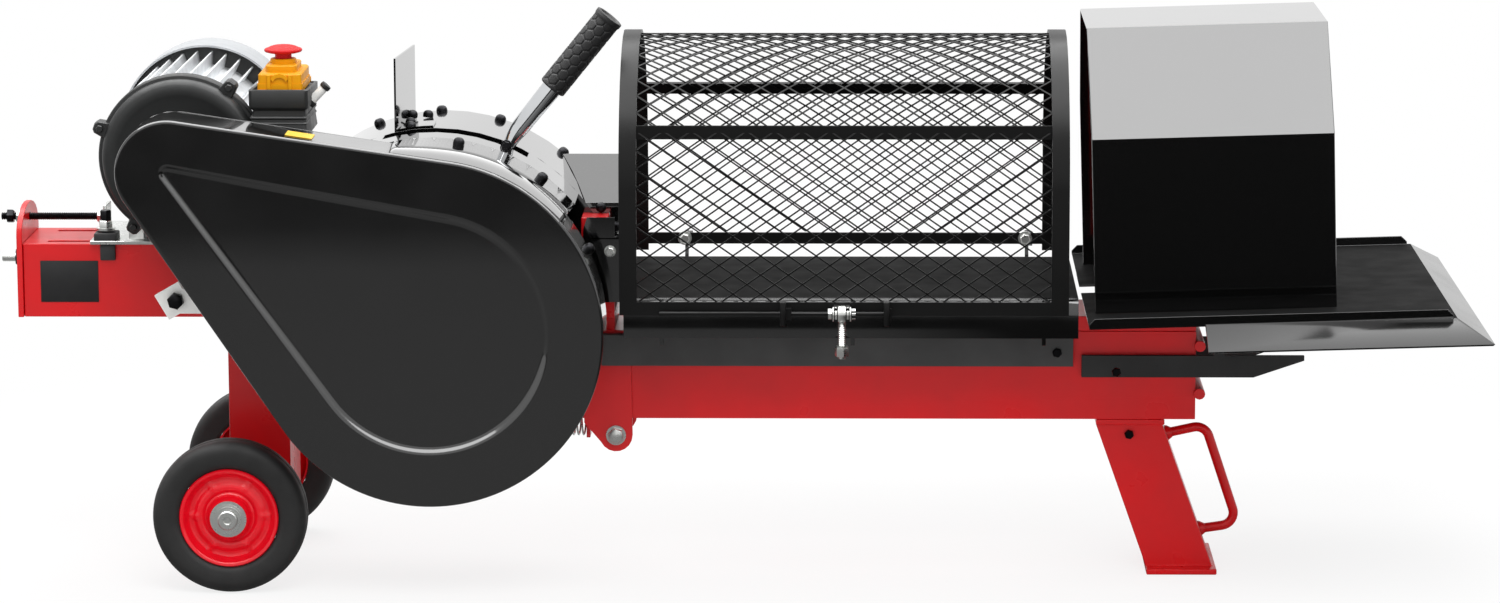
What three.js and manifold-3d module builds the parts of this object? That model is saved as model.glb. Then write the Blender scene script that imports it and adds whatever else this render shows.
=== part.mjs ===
// Electric flywheel log splitter, in millimetres, +Z up, +X towards the outfeed tray.
// The origin is on the ground below the middle of the machine.
import * as THREE from "three";
import { mergeVertices } from "three/addons/utils/BufferGeometryUtils.js";
import Module from "manifold-3d";

const wasm = await Module();
wasm.setup();

// Clearances and common stock
const GAP = 0.3;
const RUN_GAP = 1;
const SHEET = 2;
const PLATE = 4;

// Beam and support
const BEAM_RIGHT = 488;
const BEAM_BOTTOM = 165;
const BEAM_HEIGHT = 94;
const BEAM_WIDTH = 100;
const BEAM_WALL = 4;
const RAIL_REACH = 10;
const RAIL_THICK = 3;
const RAIL_TOP = 256;
const RAIL_BOTTOM = 223;
const CROSS_BAR_D = 12;
const ROLLER_X = -121.5;
const ROLLER_Z = 147.5;
const ROLLER_D = 35;
const ROLLER_BOLT_D = 12;
const CHEEK_LEFT = -155;
const CHEEK_RIGHT = -105.5;
const SPRING_R = 11.5;
const SPRING_WIRE = 2.2;
const SPRING_TURNS = 11;
const SPRING_PITCH = 5.4;
const FOOT_TOP_LEFT = 384;
const FOOT_WIDTH = 70;
const FOOT_LEAN = 54;
const FOOT_PLATE_LENGTH = 74;
const FOOT_PLATE_WIDTH = 126;
const FOOT_PLATE_THICK = 6;
const HANDLE_D = 10;
const HANDLE_REACH = 82;
const HANDLE_RISE = 9;
const HANDLE_DROP = 6;
const HANDLE_BEND = 14;

// Rack housing on top of the beam
const HOUSING_LEFT = -744;
const HOUSING_WIDTH = 104;
const HOUSING_HEIGHT = 78;
const HOUSING_WALL = 4;
const HOUSING_LIFT = 14;
const PAD_LENGTH = 60;
const EAR_REACH = 40;
const EAR_RISE = 35;
const EAR_LENGTH = 32;
const END_PLATE_HEIGHT = 115;
const END_PLATE_THICK = 6;
const SCREW_LEFT = -774.5;
const SCREW_D = 8;
const BEARING_R = 34;
const BEARING_THICK = 13;

// Rack, pinion and stroke
const RACK_LEFT = -735;
const RACK_WIDTH = 36;
const RACK_HEIGHT = 36.7;
const RACK_PITCH = 9.42;
const TOOTH_DEPTH = 6.5;
const PUSHER_THICK = 12;
const PUSHER_WIDTH = 96;
const PUSHER_HEIGHT = 48;
const SHAFT_X = -307;
const SHAFT_Z = 281;
const SHAFT_D = 30;
const PINION_R = 26;
const PINION_TEETH = 16;

// Wheels
const AXLE_X = -519.5;
const WHEEL_R = 80;
const TYRE_WIDTH = 40;
const RIM_R = 52;
const WHEEL_OFFSET = 140;
const AXLE_D = 20;
const LEG_WIDTH = 64;
const LEG_BACKSET = 11.5;

// Flywheel, belt and guard
const FLYWHEEL_R = 158;
const FLYWHEEL_Y = -165;
const FLYWHEEL_RIM = 34;
const BELT_WIDTH = 13;
const BELT_THICK = 9;
const GROOVE_DEPTH = 8;
const MOTOR_X = -570;
const MOTOR_Z = 448;
const PULLEY_R = 34;
const PULLEY_WIDTH = 26;
const GUARD_ROOM = 22.5;
const GUARD_PULLEY_ROOM = 20.5;
const GUARD_FRONT = -195;
const GUARD_BACK = -128;
const BRACKET_X = -576;
const BRACKET_Z = 303.6;
const BRACKET_R = 21;
const BRACKET_LENGTH = 36;
const EMBOSS_INSET = 44;
const EMBOSS_SMALL_R = 2;
const EMBOSS_DEPTH = 4;
const EMBOSS_SLOPE = 10;

// Motor
const MOTOR_R = 83.5;
const MOTOR_CORE_R = 70;
const MOTOR_NEAR = -100;
const SHIELD_DEPTH = 30;
const BODY_LENGTH = 190;
const COWL_DEPTH = 68;
const MOTOR_SHAFT_D = 19;
const ROTOR_R = 40;
const VENT_R = 46;
const BASE_LEFT = -672;
const FIN_COUNT = 30;

// Covers over the drive
const COVER_STEP = 13.5;
const GEAR_COVER_NEAR = -57;
const GEAR_COVER_FAR = 75;
const LEVER_SLOT_WIDTH = 30;
const LEVER_SLOT_FROM = 60;
const LEVER_SLOT_TO = 106;
const LEVER_COVER_END = 40;
const SADDLE_RIGHT = -114;
const SADDLE_NEAR = -62;
const SADDLE_FAR = 62;
const SADDLE_NEAR_TOP = 397;
const SADDLE_FAR_TOP = 430;
const PLATE_X = -349;
const PLATE_DEPTH = 115;
const PLATE_TURN = 5;
const PLATE_RISE = 73;

// Lever
const LEVER_D = 22;
const GRIP_D = 29;
const LEVER_Y = -73;
const LEVER_LEAN = 39.1;
const LEVER_ENTRY_X = -233.5;
const LEVER_ENTRY_DROP = 16.2;
const LEVER_INSIDE = 62;
const LEVER_OUTSIDE = 78;
const GRIP_LENGTH = 96;
const HUB_R = 26;
const HUB_WIDTH = 14;

// Switch
const SWITCH_LEFT = -494;
const SWITCH_WIDTH = 57;
const SWITCH_NEAR = -100;
const SWITCH_DEPTH = 97;
const SWITCH_BOTTOM = 478;
const SWITCH_HEIGHT = 39;
const FLAP_WIDTH = 48;
const FLAP_HEIGHT = 20;
const CROWN_HEIGHT = 6;
const STEM_R = 9;
const MUSHROOM_D = 40;
const STOP_TRAVEL = 4;

// Log table, cage, hood and tray
const TABLE_LEFT = -109;
const TABLE_RIGHT = 361;
const TABLE_TOP = 308;
const TABLE_THICK = 3;
const TABLE_HALF = 135;
const TABLE_LIP = 41;
const CAGE_LEFT = -112.5;
const CAGE_RIGHT = 350.5;
const CAGE_R = 150;
const CAGE_BOTTOM = 293;
const CAGE_REAR_BOTTOM = 312;
const CAGE_TOP = 573;
const BAR_WIDTH = 14;
const BAR_THICK = 4;
const ARCH_WIDTH = 18;
const FRONT_BAR_Z = 481;
const REAR_BAR_ANGLE = 28.3;
const ROD_LEFT = -71;
const ROD_RIGHT = 167;
const MESH_THICK = 2;
const MESH_STRAND = 5;
const HINGE_X = [-55, 314];
const HINGE_Z = 323;
const MESH_REAR_BOTTOM = 333;
const MESH_COLUMNS = 5;
const MESH_ROWS = 2;
const HINGE_OUT = 8;
const HINGE_D = 8;
const LATCH_X = 117;
const LATCH_D = 8;
const LATCH_REACH = 166;
const LATCH_Z = 298;
const LATCH_PIN_R = 3;
const HOOD_LEFT = 377.5;
const HOOD_RIGHT = 625.5;
const HOOD_HALF = 148;
const HOOD_SHOULDER = 476;
const HOOD_TOP = 583;
const HOOD_TOP_HALF = 82;
const TRAY_LEFT = 368;
const TRAY_RIGHT = 740.2;
const TRAY_HALF = 225;
const TRAY_Z = 295;
const TRAY_RIM = 9;
const APRON_REACH = 34;
const APRON_DROP = 22;
const APRON_LEFT = 486;
const TRAY_TILT = 1.7;
const SUPPORT_RIGHT = 601;
const SUPPORT_TAPER = 53;
const SUPPORT_HEIGHT = 23;
const SUPPORT_DROP = 25;
const WEDGE_LEFT = 392;
const WEDGE_TOP = 456;
const WEDGE_LENGTH = 96;
const WEDGE_THICK = 44;

// Worked out from the sizes above
const GUARD_BIG_R = FLYWHEEL_R + GUARD_ROOM;
const GUARD_SMALL_R = PULLEY_R + GUARD_PULLEY_ROOM;
const EMBOSS_BIG_R = FLYWHEEL_R - EMBOSS_INSET;
const COVER_R = GUARD_BIG_R + COVER_STEP;
const LEVER_ENTRY_Z = SHAFT_Z + COVER_R - LEVER_ENTRY_DROP;
const LEG_LEFT = AXLE_X - LEG_BACKSET;
const BEAM_LEFT = LEG_LEFT + LEG_WIDTH + GAP;
const PUSHER_BACK = TABLE_LEFT - PUSHER_THICK - RUN_GAP;
const HOUSING_RIGHT = PUSHER_BACK - GAP;
const BEAM_TOP = BEAM_BOTTOM + BEAM_HEIGHT;
const SPRING_END = SPRING_WIRE * 3;
const SPRING_RIGHT = CHEEK_LEFT - GAP;
const SPRING_LEFT = SPRING_RIGHT - SPRING_TURNS * SPRING_PITCH - SPRING_END * 2;
const BEAM_HALF = BEAM_WIDTH / 2;
const CROSS_BAR_X = BEAM_RIGHT + CROSS_BAR_D / 2 - BEAM_WALL / 2;
const HOUSING_BOTTOM = BEAM_TOP + HOUSING_LIFT;
const HOUSING_TOP = HOUSING_BOTTOM + HOUSING_HEIGHT;
const HOUSING_HALF = HOUSING_WIDTH / 2;
const RACK_TOP = HOUSING_TOP - HOUSING_WALL - GAP;
const SCREW_Z = HOUSING_TOP + 21;
const RACK_BOTTOM = RACK_TOP - RACK_HEIGHT;
const CAGE_AXIS_Z = CAGE_TOP - CAGE_R;
const BAR_R = CAGE_R - MESH_THICK - GAP;

// Finishes
const finish = (color, roughness, metalness) =>
  new THREE.MeshStandardMaterial({ color, roughness, metalness });
const RED = finish("#b3252b", 0.45, 0);
const BLACK = finish("#151515", 0.25, 0);
const SATIN = finish("#2b2b2b", 0.5, 0);
const ZINC = finish("#b9bcc0", 0.35, 1);
const CHROME = finish("#d9dbde", 0.1, 1);
const STEEL = finish("#7c7f84", 0.4, 1);
const ALUMINIUM = finish("#c9ccd0", 0.4, 1);
const RUBBER = finish("#262626", 0.85, 0);
const YELLOW = finish("#f9bb16", 0.5, 0);
const BUTTON_RED = finish("#e23a3f", 0.5, 0);
const RIM_RED = finish("#d0021b", 0.35, 0);
const GREY = finish("#b4b7ba", 0.5, 0);

const splitter = new THREE.Group();

// Solids: three.js makes each form and manifold joins and cuts them.
function solid(geometry) {
  const bare = new THREE.BufferGeometry();
  const source = geometry.index ? geometry.toNonIndexed() : geometry;
  bare.setAttribute("position", source.getAttribute("position"));
  const merged = mergeVertices(bare, 1e-3);
  const mesh = new wasm.Mesh({
    numProp: 3,
    vertProperties: new Float32Array(merged.attributes.position.array),
    triVerts: new Uint32Array(merged.index.array),
  });
  return new wasm.Manifold(mesh);
}

const join = (...parts) => parts.reduce((sum, part) => sum.add(part));
const cut = (body, ...tools) => tools.reduce((left, tool) => left.subtract(tool), body);

function addNode(name, form, material) {
  const made = form.getMesh();
  const geometry = new THREE.BufferGeometry();
  geometry.setAttribute("position", new THREE.BufferAttribute(made.vertProperties, 3));
  geometry.setIndex(new THREE.BufferAttribute(made.triVerts, 1));
  geometry.computeVertexNormals();
  const mesh = new THREE.Mesh(geometry, material);
  mesh.name = name;
  splitter.add(mesh);
}

// A block between two corners.
function block(x0, x1, y0, y1, z0, z1) {
  const geometry = new THREE.BoxGeometry(x1 - x0, y1 - y0, z1 - z0);
  return solid(geometry.translate((x0 + x1) / 2, (y0 + y1) / 2, (z0 + z1) / 2));
}

// Round bars along each axis; six sides give a hexagon.
function barY(r, x, z, y0, y1, sides = 20) {
  const geometry = new THREE.CylinderGeometry(r, r, y1 - y0, sides);
  return solid(geometry.translate(x, (y0 + y1) / 2, z));
}

function barX(r, y, z, x0, x1, sides = 16) {
  const geometry = new THREE.CylinderGeometry(r, r, x1 - x0, sides).rotateZ(-Math.PI / 2);
  return solid(geometry.translate((x0 + x1) / 2, y, z));
}

function barZ(r, x, y, z0, z1, sides = 16, topR = r) {
  const geometry = new THREE.CylinderGeometry(topR, r, z1 - z0, sides).rotateX(Math.PI / 2);
  return solid(geometry.translate(x, y, (z0 + z1) / 2));
}

const outline = (points) => new THREE.Shape(points.map(([a, b]) => new THREE.Vector2(a, b)));

// Outlines drawn in X and Z are swept along Y, those in Y and Z along X.
function sweepY(points, y0, y1) {
  const geometry = new THREE.ExtrudeGeometry(outline(points), {
    depth: y1 - y0,
    bevelEnabled: false,
  });
  return solid(geometry.rotateX(Math.PI / 2).translate(0, y1, 0));
}

function sweepX(points, x0, x1) {
  const geometry = new THREE.ExtrudeGeometry(outline(points), {
    depth: x1 - x0,
    bevelEnabled: false,
  });
  const turn = new THREE.Matrix4().makeBasis(
    new THREE.Vector3(0, 1, 0),
    new THREE.Vector3(0, 0, 1),
    new THREE.Vector3(1, 0, 0),
  );
  return solid(geometry.applyMatrix4(turn).translate(x0, 0, 0));
}

function sweepZ(points, z0, z1) {
  const geometry = new THREE.ExtrudeGeometry(outline(points), {
    depth: z1 - z0,
    bevelEnabled: false,
  });
  return solid(geometry.translate(0, 0, z0));
}

// Points on an arc, angles in degrees from the first axis towards the second.
function arc(cx, cz, r, from, to, steps) {
  return Array.from({ length: steps + 1 }, (_, i) => {
    const angle = THREE.MathUtils.degToRad(from + ((to - from) * i) / steps);
    return [cx + r * Math.cos(angle), cz + r * Math.sin(angle)];
  });
}

// A turned piece on an axis along Y: the profile lists [radius, y] and closes on itself.
function turnedY(profile, x, z, segments = 20) {
  const points = profile.map(([r, y]) => new THREE.Vector2(r, y));
  points.push(points[0].clone());
  return solid(new THREE.LatheGeometry(points, segments).translate(x, 0, z));
}

// A path through given marks, taken one mark at a time.
class Run extends THREE.Curve {
  constructor(marks) {
    super();
    this.marks = marks;
  }
  getPoint(t, target = new THREE.Vector3()) {
    const place = THREE.MathUtils.clamp(t, 0, 1) * (this.marks.length - 1);
    const index = Math.min(Math.floor(place), this.marks.length - 2);
    return target.lerpVectors(this.marks[index], this.marks[index + 1], place - index);
  }
  getPointAt(u, target) {
    return this.getPoint(u, target);
  }
  getTangentAt(u, target) {
    return this.getTangent(u, target);
  }
}

function tube(marks, radius, sides = 10) {
  const ring = outline(arc(0, 0, radius, 0, 360 - 360 / sides, sides - 1));
  const path = new Run(marks);
  return solid(new THREE.ExtrudeGeometry(ring, { steps: marks.length - 1, extrudePath: path }));
}

// A round bar along straight runs with rounded corners.
function bentBar(points, radius, bend, sides = 10, perCorner = 4) {
  const corners = points.map((p) => new THREE.Vector3(...p));
  const marks = [corners[0]];
  for (let i = 1; i < corners.length - 1; i++) {
    const before = corners[i - 1].clone().sub(corners[i]).setLength(bend);
    const after = corners[i + 1].clone().sub(corners[i]).setLength(bend);
    const curve = new THREE.QuadraticBezierCurve3(
      before.add(corners[i]),
      corners[i],
      after.add(corners[i]),
    );
    marks.push(...curve.getPoints(perCorner));
  }
  marks.push(corners.at(-1));
  return tube(marks, radius, sides);
}

// Main beam: a rectangular tube, capped at the right, with two cross bars welded across its end
// and two pads on top that carry the rack housing.
function mainBeam() {
  const shell = block(BEAM_LEFT, BEAM_RIGHT, -BEAM_HALF, BEAM_HALF, BEAM_BOTTOM, BEAM_TOP);
  const hollow = block(
    BEAM_LEFT - PLATE,
    BEAM_RIGHT - BEAM_WALL,
    -BEAM_HALF + BEAM_WALL,
    BEAM_HALF - BEAM_WALL,
    BEAM_BOTTOM + BEAM_WALL,
    BEAM_TOP - BEAM_WALL,
  );
  const barHalf = BEAM_HALF + CROSS_BAR_D / 2;
  const bars = [BEAM_TOP - 15, BEAM_BOTTOM + 28].map((z) =>
    barY(CROSS_BAR_D / 2, CROSS_BAR_X, z, -barHalf, barHalf, 12),
  );
  const padHalf = BEAM_HALF - BEAM_WALL;
  const pads = [BEAM_LEFT, HOUSING_RIGHT - PAD_LENGTH].map((x) =>
    block(x, x + PAD_LENGTH, -padHalf, padHalf, BEAM_TOP - BEAM_WALL, HOUSING_BOTTOM - GAP),
  );
  const lug = block(
    SPRING_LEFT - GAP - PLATE,
    SPRING_LEFT - GAP,
    -SPRING_R,
    SPRING_R,
    ROLLER_Z - SPRING_R,
    BEAM_BOTTOM + BEAM_WALL / 2,
  );
  const pinionRoom = block(
    SHAFT_X - PINION_R - PLATE,
    SHAFT_X + PINION_R + PLATE,
    -RACK_WIDTH,
    RACK_WIDTH,
    BEAM_TOP - BEAM_WALL * 2,
    HOUSING_BOTTOM,
  );
  const body = join(cut(shell, hollow, pinionRoom), ...bars, ...pads, lug);
  addNode("main_beam", body, RED);
}
mainBeam();

// Foot: a leg of sheet welded to a flange and a ground plate, and a carrying handle.
function supportFoot() {
  const top = BEAM_BOTTOM - GAP;
  const flange = block(
    FOOT_TOP_LEFT,
    FOOT_TOP_LEFT + FOOT_WIDTH + SHEET,
    -BEAM_HALF,
    BEAM_HALF,
    top - FOOT_PLATE_THICK,
    top,
  );
  const legTop = top - FOOT_PLATE_THICK;
  const legLeft = FOOT_TOP_LEFT;
  const legBottom = FOOT_PLATE_THICK;
  const side = [
    [legLeft, legTop],
    [legLeft + FOOT_LEAN, legBottom],
    [legLeft + FOOT_LEAN + FOOT_WIDTH, legBottom],
    [legLeft + FOOT_WIDTH, legTop],
  ];
  const legHalf = BEAM_HALF - PLATE;
  const inside = [
    [legLeft - PLATE, legTop],
    [legLeft + FOOT_LEAN - PLATE, legBottom],
    [legLeft + FOOT_LEAN + FOOT_WIDTH - PLATE, legBottom],
    [legLeft + FOOT_WIDTH - PLATE, legTop],
  ];
  const leg = cut(
    sweepY(side, -legHalf, legHalf),
    sweepY(inside, -legHalf + PLATE, legHalf - PLATE),
  );
  const plateLeft = legLeft + FOOT_LEAN;
  const plate = block(
    plateLeft,
    plateLeft + FOOT_PLATE_LENGTH,
    -FOOT_PLATE_WIDTH / 2,
    FOOT_PLATE_WIDTH / 2,
    0,
    FOOT_PLATE_THICK,
  );
  addNode("foot_leg", join(flange, leg, plate), RED);

  const legRight = (z) => legLeft + FOOT_WIDTH + (FOOT_LEAN * (legTop - z)) / (legTop - legBottom);
  const upper = BEAM_BOTTOM - 25;
  const lower = FOOT_PLATE_THICK + 30;
  const reach = (FOOT_LEAN * (upper - lower)) / (legTop - legBottom);
  const gripTop = [legRight(upper) + HANDLE_REACH - FOOT_LEAN + HANDLE_BEND, 0, upper + HANDLE_RISE];
  const gripBottom = [gripTop[0] + reach, 0, lower + HANDLE_DROP];
  const handle = bentBar(
    [
      [legRight(upper) + HANDLE_D / 8, 0, upper],
      gripTop,
      gripBottom,
      [legRight(lower) + HANDLE_D / 8, 0, lower],
    ],
    HANDLE_D / 2,
    HANDLE_BEND,
  );
  const inLeg = sweepY(side, -legHalf, legHalf).translate([GAP, 0, 0]);
  addNode("foot_handle", cut(handle, inLeg), RED);
}
supportFoot();

// Rack housing: a rectangular tube with windows for the pinion, the shaft and the press cam.
function rackHousing() {
  const shell = block(
    HOUSING_LEFT,
    HOUSING_RIGHT,
    -HOUSING_HALF,
    HOUSING_HALF,
    HOUSING_BOTTOM,
    HOUSING_TOP,
  );
  const hollow = block(
    HOUSING_LEFT - PLATE,
    HOUSING_RIGHT + PLATE,
    -HOUSING_HALF + HOUSING_WALL,
    HOUSING_HALF - HOUSING_WALL,
    HOUSING_BOTTOM + HOUSING_WALL,
    HOUSING_TOP - HOUSING_WALL,
  );
  const pinionWindow = block(
    SHAFT_X - PINION_R - 8,
    SHAFT_X + PINION_R + 8,
    -RACK_WIDTH / 2 - 6,
    RACK_WIDTH / 2 + 6,
    HOUSING_BOTTOM - PLATE,
    HOUSING_BOTTOM + HOUSING_WALL * 2,
  );
  const shaftHole = barY(SHAFT_D / 2 + 3, SHAFT_X, SHAFT_Z, -HOUSING_WIDTH, HOUSING_WIDTH, 20);
  const shaftSlot = block(
    SHAFT_X - SHAFT_D / 2 - 3,
    SHAFT_X + SHAFT_D / 2 + 3,
    -HOUSING_WIDTH,
    HOUSING_WIDTH,
    HOUSING_BOTTOM - PLATE,
    SHAFT_Z,
  );
  const slots = [-34, 34].map((y) =>
    block(HOUSING_LEFT + 24, HOUSING_LEFT + 74, y - 5, y + 5, HOUSING_TOP - PLATE * 2, HOUSING_TOP + PLATE),
  );
  const ear = block(
    HOUSING_RIGHT - EAR_LENGTH,
    HOUSING_RIGHT - PLATE,
    -HOUSING_HALF - EAR_REACH,
    -HOUSING_HALF + HOUSING_WALL / 2,
    HOUSING_TOP - EAR_RISE / 2,
    HOUSING_TOP + EAR_RISE,
  );
  const coverRoom = block(
    HOUSING_RIGHT - 60,
    HOUSING_RIGHT,
    GEAR_COVER_NEAR - GAP,
    0,
    HOUSING_TOP,
    HOUSING_TOP + EAR_RISE * 2,
  );
  const tube = cut(shell, hollow, pinionWindow, shaftHole, shaftSlot, ...slots);
  addNode("rack_housing", join(tube, cut(ear, coverRoom)), RED);

  const plateHalf = HOUSING_HALF + 3;
  const plateTop = HOUSING_BOTTOM + END_PLATE_HEIGHT;
  const profile = [
    [-plateHalf, HOUSING_BOTTOM],
    [plateHalf, HOUSING_BOTTOM],
    ...arc(0, plateTop - 30, plateHalf, 0, 180, 12).map(([y, z]) => [
      y,
      plateTop - 30 + ((z - plateTop + 30) * 30) / plateHalf,
    ]),
  ];
  const plateFace = HOUSING_LEFT - GAP - END_PLATE_THICK;
  const screwHole = barX(
    SCREW_D / 2 + GAP,
    0,
    SCREW_Z,
    plateFace - PLATE,
    HOUSING_LEFT + PLATE,
    12,
  );
  const studZ = HOUSING_TOP - 23;
  const endPlate = join(
    cut(sweepX(profile, plateFace, HOUSING_LEFT - GAP), screwHole),
    barX(SCREW_D / 2, 0, studZ, SCREW_LEFT, plateFace + PLATE / 2, 12),
    barX(SCREW_D, 0, studZ, plateFace - SCREW_D, plateFace, 6),
  );
  addNode("housing_end_plate", endPlate, RED);
}
rackHousing();

// Wheel leg, axle and the two wheels.
function wheelGear() {
  const legHalf = BEAM_HALF - PLATE;
  const legTop = HOUSING_BOTTOM - GAP;
  const legBottom = WHEEL_R - 22;
  const leg = cut(
    block(LEG_LEFT, LEG_LEFT + LEG_WIDTH, -legHalf, legHalf, legBottom, legTop),
    block(
      LEG_LEFT + PLATE,
      LEG_LEFT + LEG_WIDTH - PLATE,
      -legHalf + PLATE,
      legHalf - PLATE,
      legBottom - PLATE,
      legTop - PLATE,
    ),
    barY(AXLE_D / 2 + GAP, AXLE_X, WHEEL_R, -legHalf * 2, legHalf * 2),
  );
  addNode("wheel_leg", leg, RED);

  const hubHalf = 24;
  const axleEnd = WHEEL_OFFSET + hubHalf + 7;
  const axle = barY(AXLE_D / 2, AXLE_X, WHEEL_R, -axleEnd, axleEnd, 16);
  const washers = [-1, 1].flatMap((side) => {
    const outer = side * (WHEEL_OFFSET + hubHalf + GAP);
    const inner = side * (WHEEL_OFFSET - hubHalf - GAP);
    const clip = [outer, outer + side * 2].sort((a, b) => a - b);
    const collar = [inner, inner - side * 6].sort((a, b) => a - b);
    return [
      barY(AXLE_D / 2 + 3.5, AXLE_X, WHEEL_R, ...clip, 12),
      barY(AXLE_D / 2 + 4, AXLE_X, WHEEL_R, ...collar, 12),
    ];
  });
  addNode("axle", join(axle, ...washers), ZINC);

  for (const [label, y] of [
    ["near", -WHEEL_OFFSET],
    ["far", WHEEL_OFFSET],
  ]) {
    const half = TYRE_WIDTH / 2;
    const face = y < 0 ? -1 : 1;
    const tyre = turnedY(
      [
        [RIM_R, y - half + 4],
        [RIM_R + 4, y - half],
        [WHEEL_R - 12, y - half],
        [WHEEL_R, y - half + 11],
        [WHEEL_R, y + half - 11],
        [WHEEL_R - 12, y + half],
        [RIM_R + 4, y + half],
        [RIM_R, y + half - 4],
      ],
      AXLE_X,
      WHEEL_R,
      24,
    );
    addNode(`tyre_${label}`, tyre, RUBBER);

    const seat = RIM_R - GAP;
    const bore = AXLE_D / 2 + GAP;
    const disc = (r, out) => [r, y + face * out];
    const profile = [
      disc(seat, -half + 6),
      disc(seat, half - 6),
      disc(RIM_R - 4, half - 3),
      disc(RIM_R - 9, half - 12),
      disc(36, half - 15),
      disc(29, half - 11),
      disc(22, half - 15),
      disc(20, half - 2),
      disc(20, hubHalf),
      disc(bore, hubHalf),
      disc(bore, -hubHalf),
      disc(17, -hubHalf),
      disc(17, -half + 12),
      disc(RIM_R - 9, -half + 10),
    ];
    const rim = turnedY(face < 0 ? profile.reverse() : profile, AXLE_X, WHEEL_R, 24);
    addNode(`rim_${label}`, rim, RIM_RED);
  }
}
wheelGear();

// Side rails: angles along both sides of the beam, below the log table.
function sideRails() {
  const left = HOUSING_RIGHT - 15;
  const right = TABLE_RIGHT - SHEET;
  for (const [label, side] of [
    ["near", -1],
    ["far", 1],
  ]) {
    const inner = side * (BEAM_HALF + GAP);
    const outer = inner + side * RAIL_REACH;
    const web = outer - side * RAIL_THICK;
    const profile = [
      [inner, RAIL_TOP],
      [outer, RAIL_TOP],
      [outer, RAIL_BOTTOM],
      [web, RAIL_BOTTOM],
      [web, RAIL_TOP - RAIL_THICK],
      [inner, RAIL_TOP - RAIL_THICK],
    ];
    addNode(`side_rail_${label}`, sweepX(profile, left, right), SATIN);
  }
}
sideRails();

// Log table: a folded sheet with turned-down edges, standing on the beam by three webs, with
// hinge lugs for the cage at the far side.
function logTable() {
  const under = TABLE_TOP - TABLE_THICK;
  const lipBottom = TABLE_TOP - TABLE_LIP;
  const bend = 9;
  const outer = [
    [-TABLE_HALF, lipBottom],
    ...arc(-TABLE_HALF + bend, TABLE_TOP - bend, bend, 180, 90, 4),
    ...arc(TABLE_HALF - bend, TABLE_TOP - bend, bend, 90, 0, 4),
    [TABLE_HALF, lipBottom],
  ];
  const wall = TABLE_THICK;
  const innerBend = bend - wall;
  const inner = [
    [TABLE_HALF - wall, lipBottom],
    ...arc(TABLE_HALF - bend, TABLE_TOP - bend, innerBend, 0, 90, 4),
    ...arc(-TABLE_HALF + bend, TABLE_TOP - bend, innerBend, 90, 180, 4),
    [-TABLE_HALF + wall, lipBottom],
  ];
  const top = sweepX([...outer, ...inner].reverse(), TABLE_LEFT, TABLE_RIGHT);
  const span = TABLE_RIGHT - TABLE_LEFT;
  const webs = [0.08, 0.5, 0.92].map((share) => {
    const x = TABLE_LEFT + span * share;
    const half = TABLE_HALF - wall / 2;
    return block(x, x + PLATE, -half, half, BEAM_TOP + GAP, under + wall / 2);
  });
  const hingeY = CAGE_R + HINGE_OUT;
  const headR = HINGE_OUT + 1;
  const lugs = HINGE_X.map((x) => {
    const profile = [
      [TABLE_HALF - wall / 2, lipBottom + 4],
      [TABLE_HALF + 6, lipBottom + 4],
      [hingeY + 4, HINGE_Z - 17],
      ...arc(hingeY, HINGE_Z, headR, 0, 180, 6),
      [hingeY - headR, HINGE_Z - 12],
      [TABLE_HALF + 4, TABLE_TOP - bend - 4],
      [TABLE_HALF - wall / 2, TABLE_TOP - bend - 6],
    ];
    const hole = barX(HINGE_D / 2 + GAP, hingeY, HINGE_Z, x - 40, x + 40);
    return cut(sweepX(profile, x, x + PLATE), hole);
  });
  addNode("log_table", join(top, ...webs, ...lugs), BLACK);
}
logTable();

// The tray and all that stands on it rise a little to the right.
function tilted(form) {
  return form
    .translate([-TRAY_LEFT, 0, -TRAY_Z])
    .rotate([0, -TRAY_TILT, 0])
    .translate([TRAY_LEFT, 0, TRAY_Z]);
}

// Tray supports: tapered flat bars bolted to both sides of the beam end.
function traySupports() {
  const top = BEAM_TOP - SUPPORT_DROP;
  const bottom = top - SUPPORT_HEIGHT;
  const seatLeft = APRON_LEFT + 20;
  const under = TRAY_Z - SHEET - GAP;
  for (const [label, side] of [
    ["near", -1],
    ["far", 1],
  ]) {
    const ends = [side * (BEAM_HALF + GAP), side * (BEAM_HALF + GAP + 6)].sort((a, b) => a - b);
    const bar = sweepY(
      [
        [TRAY_LEFT, bottom],
        [SUPPORT_RIGHT - SUPPORT_TAPER, bottom],
        [SUPPORT_RIGHT, top - 5],
        [SUPPORT_RIGHT, top],
        [TRAY_LEFT, top],
      ],
      ...ends,
    );
    const post = block(
      seatLeft,
      seatLeft + PLATE * 3,
      ...ends,
      top - PLATE,
      under + RUN_GAP,
    );
    const seat = tilted(
      block(
        seatLeft,
        seatLeft + 40,
        Math.min(ends[0], ends[0] * 1.5),
        Math.max(ends[1], ends[1] * 1.5),
        under - PLATE,
        under,
      ),
    );
    const crossBars = [BEAM_TOP - 15, BEAM_BOTTOM + 28].map((z) =>
      barY(CROSS_BAR_D / 2 + GAP, CROSS_BAR_X, z, -TRAY_HALF, TRAY_HALF, 12),
    );
    addNode(`tray_support_${label}`, cut(join(bar, post, seat), ...crossBars), SATIN);
  }
}
traySupports();

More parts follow.
